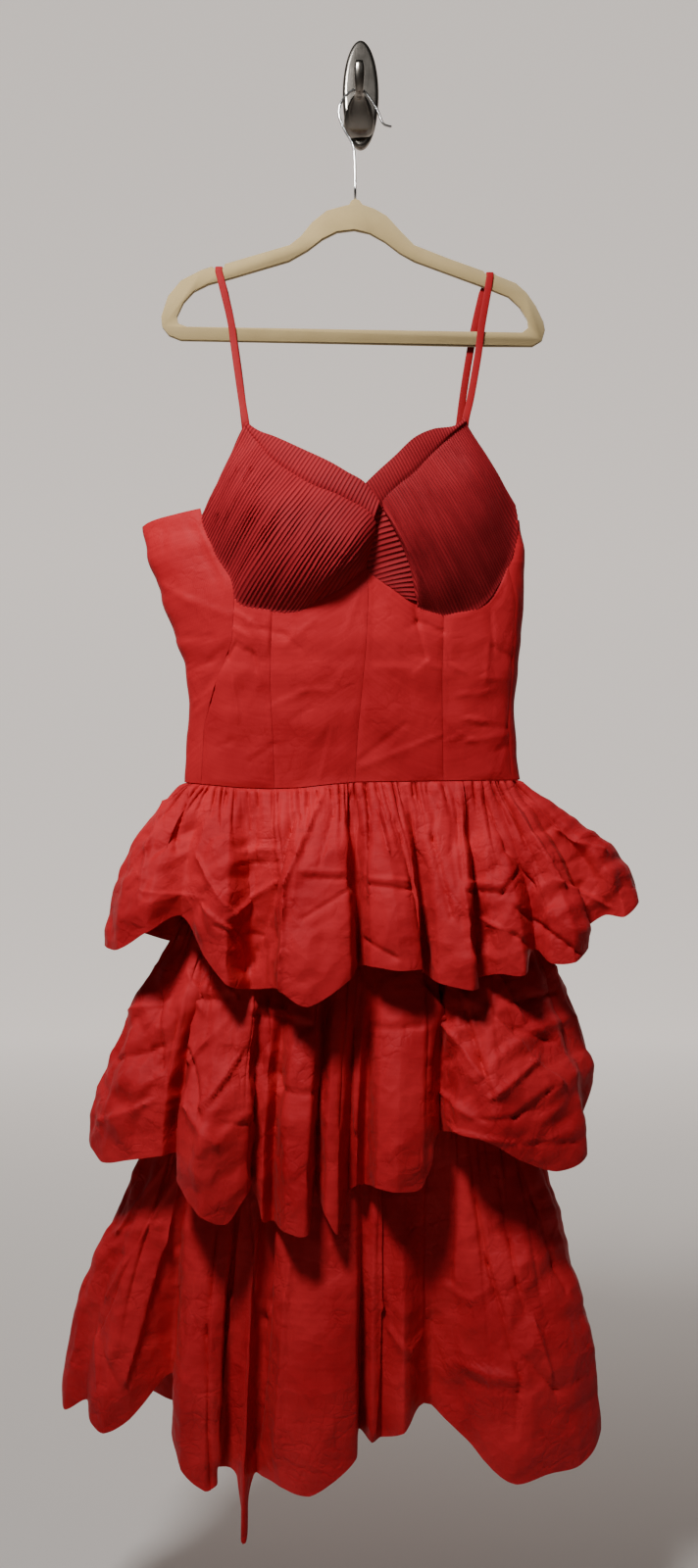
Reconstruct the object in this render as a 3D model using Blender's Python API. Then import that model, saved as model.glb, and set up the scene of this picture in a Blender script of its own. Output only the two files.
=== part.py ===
"""A tiered cocktail dress that hangs on a flocked hanger from a wall hook.

All lengths are in millimetres and become metres where a mesh is made. The wall is the plane
y = 0, the origin is the centre of the wall plate's back face, and the wearer faces -Y, so that
the wearer's left is at +X. Every piece of cloth is a wall of even thickness, and neighbouring
pieces keep a seam gap.
"""
import math
from collections import namedtuple

import bmesh
import bpy
from mathutils import Vector

MM = 0.001
CLOTH = 1.0
SEAM_GAP = 0.3
EDGE_GAP = 0.8

CLOTH_RED = (0.52, 0.018, 0.016)
CUP_RED = (0.36, 0.012, 0.020)
FLOCK_BEIGE = (0.58, 0.45, 0.26)
CHROME = (0.80, 0.80, 0.80)
NICKEL = (0.56, 0.53, 0.50)

HANGER_Y = -45.0
HANGER_THICKNESS = 5.5
WIRE_RADIUS = 1.5

PLATE_WIDTH = 43.7
PLATE_HEIGHT = 131.0
PLATE_DEPTH = 7.0
PLATE_SIDES = 40
ARM_SIDES = 12
WIRE_SIDES = 8
WIRE_END_SHARE = 0.6
HANGER_BEVEL = 0.8

CUP_PLEATS = 34
BAND_PLEATS = 30
FAN_PLEATS = 10
PLEAT_DEPTH = 0.9
PLEAT_END_SHARE = 0.35
CUP_DOME = 24.0
CUP_ROWS = 5
BAND_PLEAT_DEPTH = 0.72
BAND_PLEAT_END_SHARE = 0.5
BAND_DOME = 1.5
BAND_START = 0.03
FAN_PLEAT_DEPTH = 0.63
FAN_DOME = 2.0
FAN_START = 0.03
FAN_LENGTH = 0.95
FAN_LEVELS = (0.02, 0.5, 0.98)
WAIST_GATHERS = 28
GATHER_DEPTH = 3.0
# The gathers stand out most at this share of a tier's height, and start just under its seam.
GATHER_LEVEL = 0.09
GATHER_START = 0.01
STRAP_WIDTH = 8.5
STRAP_THICKNESS = 1.2
# How the strap rounds the hanger's step: it stays flat this far, and its corners are eased.
CREST_HALF = 1.6
CREST_DROP = 4.0
CREST_EASE = 0.4
CREST_RISE = 0.2

# The plate's profile: its size from the full outline and its depth from the wall, as shares.
PlateStep = namedtuple("PlateStep", "size depth")
PLATE_PROFILE = [PlateStep(1.0, 0.0), PlateStep(1.0, 0.35), PlateStep(0.955, 0.75), PlateStep(0.86, 1.0)]

WallSpot = namedtuple("WallSpot", "y z width thickness")
HOOK_ARM_PATH = [
    WallSpot(-7.3, -52.0, 26.0, 8.0),
    WallSpot(-14.0, -50.5, 34.0, 8.0),
    WallSpot(-24.0, -42.0, 36.0, 7.5),
    WallSpot(-32.0, -30.5, 28.0, 7.0),
    WallSpot(-38.5, -23.6, 17.0, 6.0),
    WallSpot(-45.0, -23.1, 10.0, 6.0),
    WallSpot(-51.0, -20.5, 10.0, 6.0),
    WallSpot(-56.5, -12.5, 11.5, 6.0),
    WallSpot(-59.5, -2.0, 12.5, 6.0),
    WallSpot(-60.5, 6.0, 9.0, 4.5),
]
HOOK_ARM_X = -2.0

PlanSpot = namedtuple("PlanSpot", "x z")
HANGER_WIRE_PATH = [
    PlanSpot(35.0, -61.6), PlanSpot(30.0, -60.5), PlanSpot(25.0, -57.0), PlanSpot(19.6, -43.0),
    PlanSpot(13.5, -33.5), PlanSpot(8.6, -26.0), PlanSpot(3.5, -19.9), PlanSpot(-3.0, -17.8),
    PlanSpot(-10.5, -19.6), PlanSpot(-18.0, -25.5), PlanSpot(-24.0, -35.0), PlanSpot(-26.0, -46.0),
    PlanSpot(-23.0, -57.0), PlanSpot(-17.8, -68.0), PlanSpot(-10.5, -80.0), PlanSpot(-7.8, -92.0),
    PlanSpot(-7.0, -118.0), PlanSpot(-6.7, -146.5),
]

# The hanger's outline runs clockwise from the neck, and the flat steps hold the straps.
HANGER_OUTSIDE = [
    PlanSpot(-6.7, -146.8), PlanSpot(-2.0, -148.2), PlanSpot(2.0, -153.5), PlanSpot(15.0, -158.0),
    PlanSpot(30.0, -166.5), PlanSpot(46.0, -184.0), PlanSpot(62.0, -200.5), PlanSpot(100.0, -215.5),
    PlanSpot(143.0, -231.0), PlanSpot(144.5, -233.7), PlanSpot(156.0, -234.2), PlanSpot(158.0, -236.0),
    PlanSpot(180.5, -245.0), PlanSpot(193.0, -256.0), PlanSpot(204.0, -272.0), PlanSpot(212.6, -290.0),
    PlanSpot(214.5, -300.0), PlanSpot(211.0, -312.0), PlanSpot(200.0, -318.7), PlanSpot(120.0, -318.2),
    PlanSpot(0.0, -315.6), PlanSpot(-120.0, -313.2), PlanSpot(-210.0, -311.6), PlanSpot(-224.0, -306.0),
    PlanSpot(-232.0, -296.0), PlanSpot(-233.0, -284.0), PlanSpot(-225.0, -260.0), PlanSpot(-210.0, -242.0),
    PlanSpot(-186.0, -229.6), PlanSpot(-173.5, -225.5), PlanSpot(-171.5, -227.6), PlanSpot(-160.0, -227.2),
    PlanSpot(-158.5, -222.6), PlanSpot(-120.0, -211.5), PlanSpot(-83.0, -200.5), PlanSpot(-70.0, -190.0),
    PlanSpot(-57.0, -174.0), PlanSpot(-40.0, -160.5), PlanSpot(-24.0, -156.0), PlanSpot(-14.0, -153.6),
    PlanSpot(-11.0, -148.4),
]
HANGER_INSIDE = [
    PlanSpot(-8.0, -183.0), PlanSpot(10.0, -187.0), PlanSpot(28.0, -197.0), PlanSpot(45.0, -210.0),
    PlanSpot(62.0, -219.5), PlanSpot(100.0, -233.5), PlanSpot(146.0, -250.5), PlanSpot(172.0, -261.0),
    PlanSpot(185.0, -273.0), PlanSpot(194.0, -288.0), PlanSpot(195.0, -297.0), PlanSpot(188.0, -302.6),
    PlanSpot(120.0, -302.2), PlanSpot(0.0, -299.8), PlanSpot(-120.0, -297.4), PlanSpot(-203.0, -295.8),
    PlanSpot(-213.0, -292.0), PlanSpot(-214.5, -284.0), PlanSpot(-207.0, -268.0), PlanSpot(-195.0, -255.0),
    PlanSpot(-178.0, -246.5), PlanSpot(-150.0, -239.0), PlanSpot(-84.0, -219.5), PlanSpot(-62.0, -207.0),
    PlanSpot(-45.0, -194.0), PlanSpot(-28.0, -185.5),
]

Spot = namedtuple("Spot", "x y z")
# Each strap runs from the cup's corner up over the hanger and down to the back's top edge.
STRAP_RIGHT_FRONT = [
    Spot(-131.0, -69.4, -424.0), Spot(-133.0, -69.2, -411.0), Spot(-137.5, -62.0, -385.0),
    Spot(-147.0, -51.5, -322.0), Spot(-151.5, -49.6, -290.0), Spot(-161.0, -49.0, -250.0),
]
STRAP_RIGHT_TOP = Spot(-165.7, HANGER_Y, -227.4)
STRAP_RIGHT_BACK = [
    Spot(-159.0, -40.6, -255.0), Spot(-150.0, -40.2, -300.0), Spot(-138.0, -37.5, -390.0),
    Spot(-124.0, -29.4, -530.0), Spot(-122.0, -29.0, -554.0),
]
STRAP_LEFT_FRONT = [
    Spot(118.5, -69.4, -420.0), Spot(120.5, -69.2, -407.0), Spot(126.5, -62.0, -382.0),
    Spot(136.0, -51.5, -330.0), Spot(140.0, -49.6, -298.0), Spot(147.0, -49.0, -258.0),
]
STRAP_LEFT_TOP = Spot(150.2, HANGER_Y, -233.9)
STRAP_LEFT_BACK = [
    Spot(142.0, -40.6, -255.0), Spot(131.0, -40.2, -305.0), Spot(117.0, -37.5, -395.0),
    Spot(103.0, -31.0, -530.0), Spot(101.0, -30.6, -554.0),
]

# Cup outlines, from the strap corner to the centre.
NECK_RIGHT = [Spot(-132, -71, -414), Spot(-117, -78, -426), Spot(-96, -86, -436), Spot(-66, -95, -452),
              Spot(-37, -101, -467), Spot(-16, -104, -480), Spot(3, -106, -492), Spot(20.5, -106.5, -514)]
FOLD_RIGHT = [Spot(-134, -72, -418), Spot(-121, -80, -438), Spot(-101, -92, -464), Spot(-58, -104, -494),
              Spot(-21, -107, -511), Spot(14, -107, -534)]
NECK_LEFT = [Spot(118.5, -71, -410), Spot(105, -77, -421), Spot(81, -86, -427), Spot(59, -93, -439),
             Spot(38, -98, -460), Spot(19, -101, -478), Spot(7, -102.5, -490)]
FOLD_LEFT = [Spot(120, -72, -415), Spot(103, -80, -431), Spot(70, -93, -468), Spot(43, -100, -493),
             Spot(25, -103, -514)]
CUP_INNER_LEFT = [Spot(25, -103, -514), Spot(40, -100.5, -549), Spot(53, -96.5, -581), Spot(61, -90, -613),
                  Spot(64, -86.5, -628)]
FAN_INNER = [Spot(16.5, -103, -524), Spot(12.5, -99, -549), Spot(9.8, -88, -580), Spot(14.5, -87, -592.3),
             Spot(32, -88, -606), Spot(51, -87.5, -620)]
FAN_OUTER = [Spot(21.5, -103, -518), Spot(36.5, -100.5, -547), Spot(49, -96.5, -576), Spot(56.5, -91.5, -600),
             Spot(60.5, -87.5, -624)]
EdgeSpot = namedtuple("EdgeSpot", "x z")
# The cups' feet lie on the bodice's surface, which gives their depth.
CUP_FOOT_RIGHT = [EdgeSpot(-181.5, -516), EdgeSpot(-183, -530), EdgeSpot(-168, -559), EdgeSpot(-147.5, -593),
                  EdgeSpot(-143, -616), EdgeSpot(-131, -625), EdgeSpot(-101, -631), EdgeSpot(-69, -631),
                  EdgeSpot(-53, -623), EdgeSpot(-21, -605), EdgeSpot(6, -583)]
CUP_FOOT_LEFT = [EdgeSpot(176, -500), EdgeSpot(179, -522), EdgeSpot(173.5, -556), EdgeSpot(166.5, -578),
                 EdgeSpot(153, -602), EdgeSpot(146, -613), EdgeSpot(136, -623), EdgeSpot(124, -630.5),
                 EdgeSpot(110, -635), EdgeSpot(94, -637), EdgeSpot(64, -628)]
CUP_SPREAD_RIGHT = 0.8
CUP_SPREAD_LEFT = 1.3

# The bodice in plan is a flattened ring: its middle, half width and depths at each height.
Ring = namedtuple("Ring", "z middle half front back")
BODICE_RINGS = [
    Ring(-505, -36, 219, 26, 20), Ring(-530, -35, 220, 29, 20), Ring(-560, -29, 220, 36, 20),
    Ring(-612, -20, 212, 44, 20), Ring(-660, -15, 202, 44, 19), Ring(-693, -11, 195, 41, 18),
    Ring(-740, -11, 190, 36, 17), Ring(-790, -11, 193, 32, 16), Ring(-835, -10, 196, 30, 14),
]
UNDERSKIRT_RINGS = [Ring(-985, -5, 204, 33, 10), Ring(-1205, -19, 214, 38, 8)]
RING_Y = -45.0
RING_FULLNESS = 0.7
RING_REACH = 0.9995

SeamSpot = namedtuple("SeamSpot", "z x")
SIDE_SEAM_RIGHT = [SeamSpot(-505, -189), SeamSpot(-530, -188), SeamSpot(-560, -173.5), SeamSpot(-597, -152.5),
                   SeamSpot(-612, -147), SeamSpot(-633, -145), SeamSpot(-666, -147), SeamSpot(-711, -166),
                   SeamSpot(-762, -181), SeamSpot(-835, -185)]
PRINCESS_RIGHT = [SeamSpot(-625, -101), SeamSpot(-709, -104), SeamSpot(-835, -99)]
CENTRE_FRONT = [SeamSpot(-580, 6), SeamSpot(-618, 8), SeamSpot(-678, 5), SeamSpot(-727, 0),
                SeamSpot(-782, -5), SeamSpot(-835, -8)]
PRINCESS_LEFT = [SeamSpot(-630, 93.5), SeamSpot(-709, 92), SeamSpot(-835, 94)]
SIDE_SEAM_LEFT = [SeamSpot(-505, 178), SeamSpot(-522, 181), SeamSpot(-556, 175.5), SeamSpot(-578, 168.5),
                  SeamSpot(-615, 178), SeamSpot(-688, 175), SeamSpot(-759, 170), SeamSpot(-835, 175)]

FRONT_TOP_EDGE = [EdgeSpot(-146, -617.5), EdgeSpot(-131, -626), EdgeSpot(-101, -632), EdgeSpot(-69, -632),
                  EdgeSpot(-53, -624), EdgeSpot(-21, -606), EdgeSpot(6, -584), EdgeSpot(14, -593),
                  EdgeSpot(32, -606.5), EdgeSpot(51, -620.3), EdgeSpot(64, -629), EdgeSpot(94, -637.8),
                  EdgeSpot(113, -634.8), EdgeSpot(137, -623.8), EdgeSpot(153, -602.8), EdgeSpot(168, -579)]
# How far round the back panel, from the side seam to the centre back, and the top edge there.
BackSpot = namedtuple("BackSpot", "share z")
BACK_TOP_RIGHT = [BackSpot(0.0, -517), BackSpot(0.1, -520), BackSpot(0.28, -530), BackSpot(0.5, -535),
                  BackSpot(1.0, -548)]
BACK_TOP_LEFT = [BackSpot(0.0, -523), BackSpot(0.1, -521), BackSpot(0.2, -523), BackSpot(0.5, -533),
                 BackSpot(1.0, -548)]
WAIST_FRONT = [EdgeSpot(-206, -827), EdgeSpot(-184, -829), EdgeSpot(-140, -833), EdgeSpot(-105, -834.3),
               EdgeSpot(-70, -833), EdgeSpot(-38, -829.5), EdgeSpot(-6, -826.5), EdgeSpot(102, -825),
               EdgeSpot(186, -824)]
WAIST_LOOKUP_Z = -830.0
WAIST_GAP = 0.8
TIER_SEAM_GAP = 0.9
FRONT_TOP_MIDDLE_Z = -615.0
FRONT_TOP_ROUNDS = 6
FRONT_PANEL_WIDTH = 95.0
FRONT_ROWS = 7
BACK_PANEL_WIDTH = 280.0
BACK_UPPER_ROWS = 2
BACK_COLUMNS = 14
CENTRE_BACK_PHI = 3.0
UNDERSKIRT_WIDTH = 420.0
UNDERSKIRT_COLUMNS = 16
UNDERSKIRT_ROWS = 6
UNDERSKIRT_LAP = 5.0
UNDERSKIRT_FOOT_Z = -1203.0

# A tier's rows, one for each wave: where it starts along the top in percent, and its hem.
Wave = namedtuple("Wave", "share x y z")
TIER1_FRONT = [
    Wave(0.3, -284, -58, -1008), Wave(1.2, -294, -78, -1013), Wave(3.0, -272, -106, -1014),
    Wave(5.2, -236, -124, -992), Wave(8.0, -201, -104, -976), Wave(10.3, -175, -120, -1016),
    Wave(14.4, -147, -138, -1048), Wave(18.4, -124, -104, -1058), Wave(25.9, -98, -122, -1054),
    Wave(29.9, -89, -148, -1054), Wave(39.1, -57, -157, -1068), Wave(47.1, -12, -146, -1040),
    Wave(50.0, -4, -104, -1032), Wave(52.3, 10, -136, -1028), Wave(56.9, 40, -148, -1031),
    Wave(62.1, 68, -140, -1031), Wave(65.5, 69, -104, -1040), Wave(70.7, 84, -136, -1046),
    Wave(81.0, 119, -146, -1052), Wave(83.5, 127, -106, -1046), Wave(86.0, 150, -124, -1038),
    Wave(88.5, 178, -130, -1038), Wave(90.5, 193, -106, -1014), Wave(92.3, 210, -126, -1026),
    Wave(94.0, 234, -132, -1024), Wave(95.5, 251, -114, -1011), Wave(96.8, 252, -86, -994),
    Wave(97.9, 276, -82, -978), Wave(98.7, 297, -92, -979), Wave(99.3, 316, -76, -964),
    Wave(99.75, 318, -56, -955),
]
TIER1_BACK = [
    Wave(99.5, 300, -32, -966), Wave(97.0, 262, -14, -990), Wave(93.0, 222, -22, -1012),
    Wave(87.0, 186, -8, -1028), Wave(80.0, 148, -22, -1034), Wave(72.0, 110, -7, -1040),
    Wave(64.0, 66, -20, -1026), Wave(55.0, 30, -7, -1036), Wave(47.0, -18, -22, -1024),
    Wave(38.0, -60, -8, -1042), Wave(29.0, -100, -21, -1030), Wave(20.0, -148, -7, -1044),
    Wave(12.0, -190, -22, -1020), Wave(6.0, -232, -9, -1016), Wave(2.5, -266, -24, -1004),
    Wave(0.6, -282, -38, -1006),
]
TIER2_FRONT = [
    Wave(0.3, -300, -52, -1238), Wave(1.1, -312, -74, -1236), Wave(2.5, -292, -102, -1252),
    Wave(4.5, -256, -122, -1244), Wave(7.5, -219, -126, -1238), Wave(10.3, -204, -104, -1242),
    Wave(12.0, -201, -132, -1264), Wave(15.5, -172, -158, -1293), Wave(20.0, -145, -152, -1303),
    Wave(23.0, -125, -138, -1276), Wave(25.2, -124, -106, -1272), Wave(28.8, -110, -122, -1310),
    Wave(31.3, -99, -106, -1316), Wave(34.5, -84, -146, -1314), Wave(40.5, -60, -152, -1315),
    Wave(43.7, -52, -108, -1288), Wave(45.8, -38, -138, -1298), Wave(48.8, -26, -142, -1318),
    Wave(51.2, -15, -106, -1286), Wave(53.4, -6, -121, -1272), Wave(55.6, 4, -107, -1275),
    Wave(58.4, 16, -145, -1266), Wave(63.7, 38, -158, -1267), Wave(68.8, 66, -149, -1265),
    Wave(71.9, 80, -126, -1224), Wave(74.0, 88, -104, -1217), Wave(77.5, 103, -143, -1208),
    Wave(83.7, 138, -160, -1214), Wave(88.5, 170, -156, -1233), Wave(92.5, 212, -141, -1250),
    Wave(95.5, 249, -116, -1240), Wave(97.6, 250, -88, -1206), Wave(98.9, 266, -68, -1172),
    Wave(99.7, 264, -52, -1168),
]
TIER2_BACK = [
    Wave(99.5, 256, -36, -1180), Wave(97.0, 244, -18, -1210), Wave(92.0, 212, -28, -1234),
    Wave(86.0, 176, -9, -1252), Wave(79.0, 138, -27, -1258), Wave(71.0, 98, -8, -1266),
    Wave(63.0, 58, -26, -1250), Wave(54.0, 18, -8, -1262), Wave(46.0, -24, -28, -1248),
    Wave(37.0, -66, -9, -1268), Wave(28.0, -112, -27, -1254), Wave(20.0, -156, -8, -1270),
    Wave(12.0, -204, -26, -1250), Wave(6.0, -246, -10, -1246), Wave(2.5, -280, -24, -1234),
    Wave(0.6, -296, -38, -1236),
]
TIER3_FRONT = [
    Wave(0.3, -336, -46, -1518), Wave(0.9, -346, -62, -1528), Wave(1.8, -338, -78, -1542),
    Wave(3.0, -310, -86, -1526), Wave(4.3, -300, -106, -1541), Wave(6.0, -286, -114, -1549),
    Wave(8.3, -260, -108, -1538), Wave(10.8, -214, -84, -1496), Wave(12.8, -210, -116, -1550),
    Wave(15.4, -198, -138, -1576), Wave(18.9, -170, -148, -1593), Wave(21.5, -158, -138, -1592),
    Wave(23.5, -160, -108, -1590), Wave(26.0, -138, -120, -1592), Wave(27.6, -129, -137, -1656),
    Wave(29.2, -121, -118, -1600), Wave(31.2, -116, -104, -1597), Wave(34.7, -90, -138, -1594),
    Wave(40.8, -57, -156, -1595), Wave(46.9, -31, -154, -1580), Wave(52.5, -6, -140, -1562),
    Wave(55.2, -3, -106, -1548), Wave(58.2, 11, -122, -1555), Wave(60.8, 21, -114, -1553),
    Wave(64.9, 46, -138, -1536), Wave(69.2, 66, -112, -1520), Wave(72.8, 79, -102, -1524),
    Wave(77.5, 109, -122, -1546), Wave(82.8, 141, -145, -1572), Wave(87.5, 166, -153, -1583),
    Wave(92.0, 202, -149, -1574), Wave(95.3, 238, -136, -1572), Wave(97.5, 268, -108, -1548),
    Wave(98.9, 262, -78, -1508), Wave(99.7, 256, -56, -1498),
]
TIER3_BACK = [
    Wave(99.5, 250, -38, -1506), Wave(97.0, 246, -16, -1530), Wave(92.0, 214, -34, -1548),
    Wave(86.0, 178, -8, -1562), Wave(79.0, 138, -36, -1566), Wave(71.0, 96, -8, -1574),
    Wave(63.0, 56, -34, -1556), Wave(54.0, 14, -8, -1570), Wave(46.0, -28, -36, -1554),
    Wave(37.0, -72, -8, -1578), Wave(28.0, -120, -34, -1562), Wave(20.0, -166, -8, -1580),
    Wave(12.0, -218, -34, -1556), Wave(6.0, -264, -10, -1548), Wave(2.5, -308, -26, -1530),
    Wave(0.6, -330, -36, -1520),
]
TIER2_SEAM_Z = -985.0
TIER3_SEAM_Z = -1185.0
# How fast a tier swings out below its seam, at the wearer's right and left.
Flare = namedtuple("Flare", "right left")
TIER1_FLARE = Flare(0.75, 1.15)
TIER2_FLARE = Flare(1.15, 1.25)
TIER3_FLARE = Flare(1.45, 1.45)
TIER_HEM_ROUND = 700.0
TIER_LEVELS = (0.0, GATHER_LEVEL, 0.28, 0.6, 1.0)
COLUMNS_PER_WAVE = 3
# The small steps over which a direction is measured: in phi, and in shares of a surface.
PLAN_STEP = 0.01
SURFACE_STEP = 0.002


def curve_between(a, b, c, d, part):
    """Return the place at a share of the way from b to c on a smooth curve through four places."""
    return 0.5 * (2 * b + (c - a) * part + (2 * a - 5 * b + 4 * c - d) * part ** 2
                  + (3 * b - a - 3 * c + d) * part ** 3)


def spline(rows):
    """Return a smooth curve through the rows, as a function of a count of rows."""
    points = [Vector(row) for row in rows]
    last = len(points) - 1

    def pick(index):
        if index < 0:
            return 2 * points[0] - points[1]
        if index > last:
            return 2 * points[last] - points[last - 1]
        return points[index]

    def at(place):
        place = min(max(place, 0.0), float(last))
        start = min(int(place), last - 1)
        return curve_between(*(pick(start + step) for step in (-1, 0, 1, 2)), place - start)

    return at


def even_spline(rows, samples=120):
    """Return a smooth curve through the rows, as a function of the share of its length."""
    curve = spline(rows)
    last = len(rows) - 1
    dense = [curve(last * step / samples) for step in range(samples + 1)]
    run = [0.0]
    for before, after in zip(dense, dense[1:]):
        run.append(run[-1] + (after - before).length)

    def at(share):
        goal = min(max(share, 0.0), 1.0) * run[-1]
        step = next((index for index in range(1, samples + 1) if run[index] >= goal), samples)
        part = (goal - run[step - 1]) / (run[step] - run[step - 1])
        return dense[step - 1].lerp(dense[step], part)

    return at


def lookup(rows, value):
    """Read a two-column table, sorted either way, by straight lines between its rows."""
    rows = sorted(rows)
    if value <= rows[0][0]:
        return rows[0][1]
    for before, after in zip(rows, rows[1:]):
        if value <= after[0]:
            part = (value - before[0]) / (after[0] - before[0])
            return before[1] + part * (after[1] - before[1])
    return rows[-1][1]


def ring_at(rings, z):
    """Return the plan ring at height z, worked out between the table's rings."""
    if z >= rings[0].z:
        return rings[0]
    for above, below in zip(rings, rings[1:]):
        if z >= below.z:
            part = (above.z - z) / (above.z - below.z)
            part = part * part * (3 - 2 * part)
            return Ring(z, *(a + part * (b - a) for a, b in zip(above[1:], below[1:])))
    return rings[-1]


def ring_point(rings, phi, z):
    """Return the point of a ring: phi runs 0 to 2 over the front, 2 to 4 over the back."""
    ring = ring_at(rings, z)
    angle = math.pi * (1 - phi / 2)
    bulge = abs(math.sin(angle)) ** RING_FULLNESS
    phi = phi % 4.0
    y = RING_Y - ring.front * bulge if phi < 2.0 else RING_Y + ring.back * bulge
    return Vector((ring.middle + ring.half * math.cos(angle), y, z))


def phi_of_x(rings, x, z):
    """Return the front phi whose point lies at x."""
    ring = ring_at(rings, z)
    across = min(max((x - ring.middle) / ring.half, -RING_REACH), RING_REACH)
    return 2 * (1 - math.acos(across) / math.pi)


def on_bodice(edge):
    """Return an edge's points on the bodice's front surface."""
    return [ring_point(BODICE_RINGS, phi_of_x(BODICE_RINGS, spot.x, spot.z), spot.z) for spot in edge]


def plan_normal(place, phi):
    """Return the level outward normal of a closed curve given as place(phi)."""
    along = place((phi + PLAN_STEP) % 4) - place((phi - PLAN_STEP) % 4)
    return Vector((along.y, -along.x, 0.0)).normalized()


def seam_phi(seam, z):
    """Return phi of a bodice seam at height z."""
    return phi_of_x(BODICE_RINGS, lookup(seam, z), z)


def waist_z(phi):
    """Return the height of the waist seam at phi."""
    right_end = WAIST_FRONT[0]
    left_end = WAIST_FRONT[-1]
    if phi > 2.0:
        return left_end.z + (phi - 2.0) / 2.0 * (right_end.z - left_end.z)
    across = 0.5 - 0.5 * math.cos(math.pi * phi / 2)
    return lookup(WAIST_FRONT, right_end.x + across * (left_end.x - right_end.x))


def evenly(count):
    """Return count + 1 values from 0 to 1."""
    return [step / count for step in range(count + 1)]


def face_normal(surface, u, v):
    """Return the outward normal of a surface whose u runs to the viewer's right and v down."""
    along = surface(u + SURFACE_STEP, v) - surface(u - SURFACE_STEP, v)
    down = surface(u, v + SURFACE_STEP) - surface(u, v - SURFACE_STEP)
    return down.cross(along).normalized()


def new_material(name, colour, roughness, metallic=0.0):
    """Make a Principled material."""
    material = bpy.data.materials.new(name)
    material.use_nodes = True
    shader = material.node_tree.nodes["Principled BSDF"]
    shader.inputs["Base Color"].default_value = (*colour, 1.0)
    shader.inputs["Roughness"].default_value = roughness
    shader.inputs["Metallic"].default_value = metallic
    return material


def add_piece(name, bm, material, sharp_degrees=40.0):
    """Turn a closed bmesh in millimetres into a named object in metres."""
    if bm.calc_volume(signed=True) < 0:
        bmesh.ops.reverse_faces(bm, faces=bm.faces)
    bmesh.ops.scale(bm, vec=(MM, MM, MM), verts=bm.verts)
    mesh = bpy.data.meshes.new(name)
    bm.to_mesh(mesh)
    bm.free()
    mesh.shade_smooth()
    mesh.set_sharp_from_angle(angle=math.radians(sharp_degrees))
    mesh.materials.append(material)
    piece = bpy.data.objects.new(name, mesh)
    bpy.context.scene.collection.objects.link(piece)
    return piece


def zip_faces(bm, first, second):
    """Fill the strip between two rows of (place, vertex) pairs whose ends match."""
    i = 0
    j = 0
    while i < len(first) - 1 or j < len(second) - 1:
        next_first = first[i + 1][0] if i < len(first) - 1 else math.inf
        next_second = second[j + 1][0] if j < len(second) - 1 else math.inf
        if next_first <= next_second:
            bm.faces.new((first[i][1], first[i + 1][1], second[j][1]))
            i += 1
        else:
            bm.faces.new((first[i][1], second[j + 1][1], second[j][1]))
            j += 1


def add_skin(bm, grid, flipped):
    """Fill a grid of vertices with triangles, split along each cell's first diagonal."""
    for upper, lower in zip(grid, grid[1:]):
        for k in range(len(upper) - 1):
            halves = [(upper[k], lower[k], lower[k + 1]), (upper[k], lower[k + 1], upper[k + 1])]
            for corners in halves:
                bm.faces.new(corners[::-1] if flipped else corners)


def cloth_wall(name, surface, us, vs, material, relief=None, inner_us=None, thickness=CLOTH):
    """Make a piece of cloth: an outer skin, a plain inner skin, and edges that join them.

    surface(u, v) gives the plain outer face, relief(column, v) raises the outer points, and
    inner_us names the columns of the inner skin where it is coarser.
    """
    inner_us = inner_us or us
    bm = bmesh.new()
    outer = []
    inner = []
    for v in vs:
        outer_row = []
        for column, u in enumerate(us):
            raised = relief(column, v) if relief else 0.0
            outer_row.append(bm.verts.new(surface(u, v) + raised * face_normal(surface, u, v)))
        outer.append(outer_row)
        inner.append([bm.verts.new(surface(u, v) - thickness * face_normal(surface, u, v)) for u in inner_us])
    add_skin(bm, outer, False)
    add_skin(bm, inner, True)
    top_outer = list(zip(us, outer[0]))
    top_inner = list(zip(inner_us, inner[0]))
    foot_outer = list(zip(us, outer[-1]))
    foot_inner = list(zip(inner_us, inner[-1]))
    zip_faces(bm, top_outer, top_inner)
    zip_faces(bm, foot_inner, foot_outer)
    zip_faces(bm, [(v, row[0]) for v, row in zip(vs, inner)], [(v, row[0]) for v, row in zip(vs, outer)])
    zip_faces(bm, [(v, row[-1]) for v, row in zip(vs, outer)], [(v, row[-1]) for v, row in zip(vs, inner)])
    return add_piece(name, bm, material)


def sweep(name, centres, rings, material):
    """Close a chain of rings, each a list of offsets round its centre, with flat ends."""
    bm = bmesh.new()
    loops = [[bm.verts.new(centre + offset) for offset in ring] for centre, ring in zip(centres, rings)]
    for before, after in zip(loops, loops[1:]):
        for k in range(len(before)):
            other = (k + 1) % len(before)
            bm.faces.new((before[k], after[k], after[other], before[other]))
    bm.faces.new(loops[0])
    bm.faces.new(loops[-1][::-1])
    bmesh.ops.triangulate(bm, faces=bm.faces)
    return add_piece(name, bm, material)


def directions(points):
    """Return the unit direction of a chain of points at each point."""
    found = []
    for index in range(len(points)):
        before = points[max(index - 1, 0)]
        after = points[min(index + 1, len(points) - 1)]
        found.append((after - before).normalized())
    return found


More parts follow.
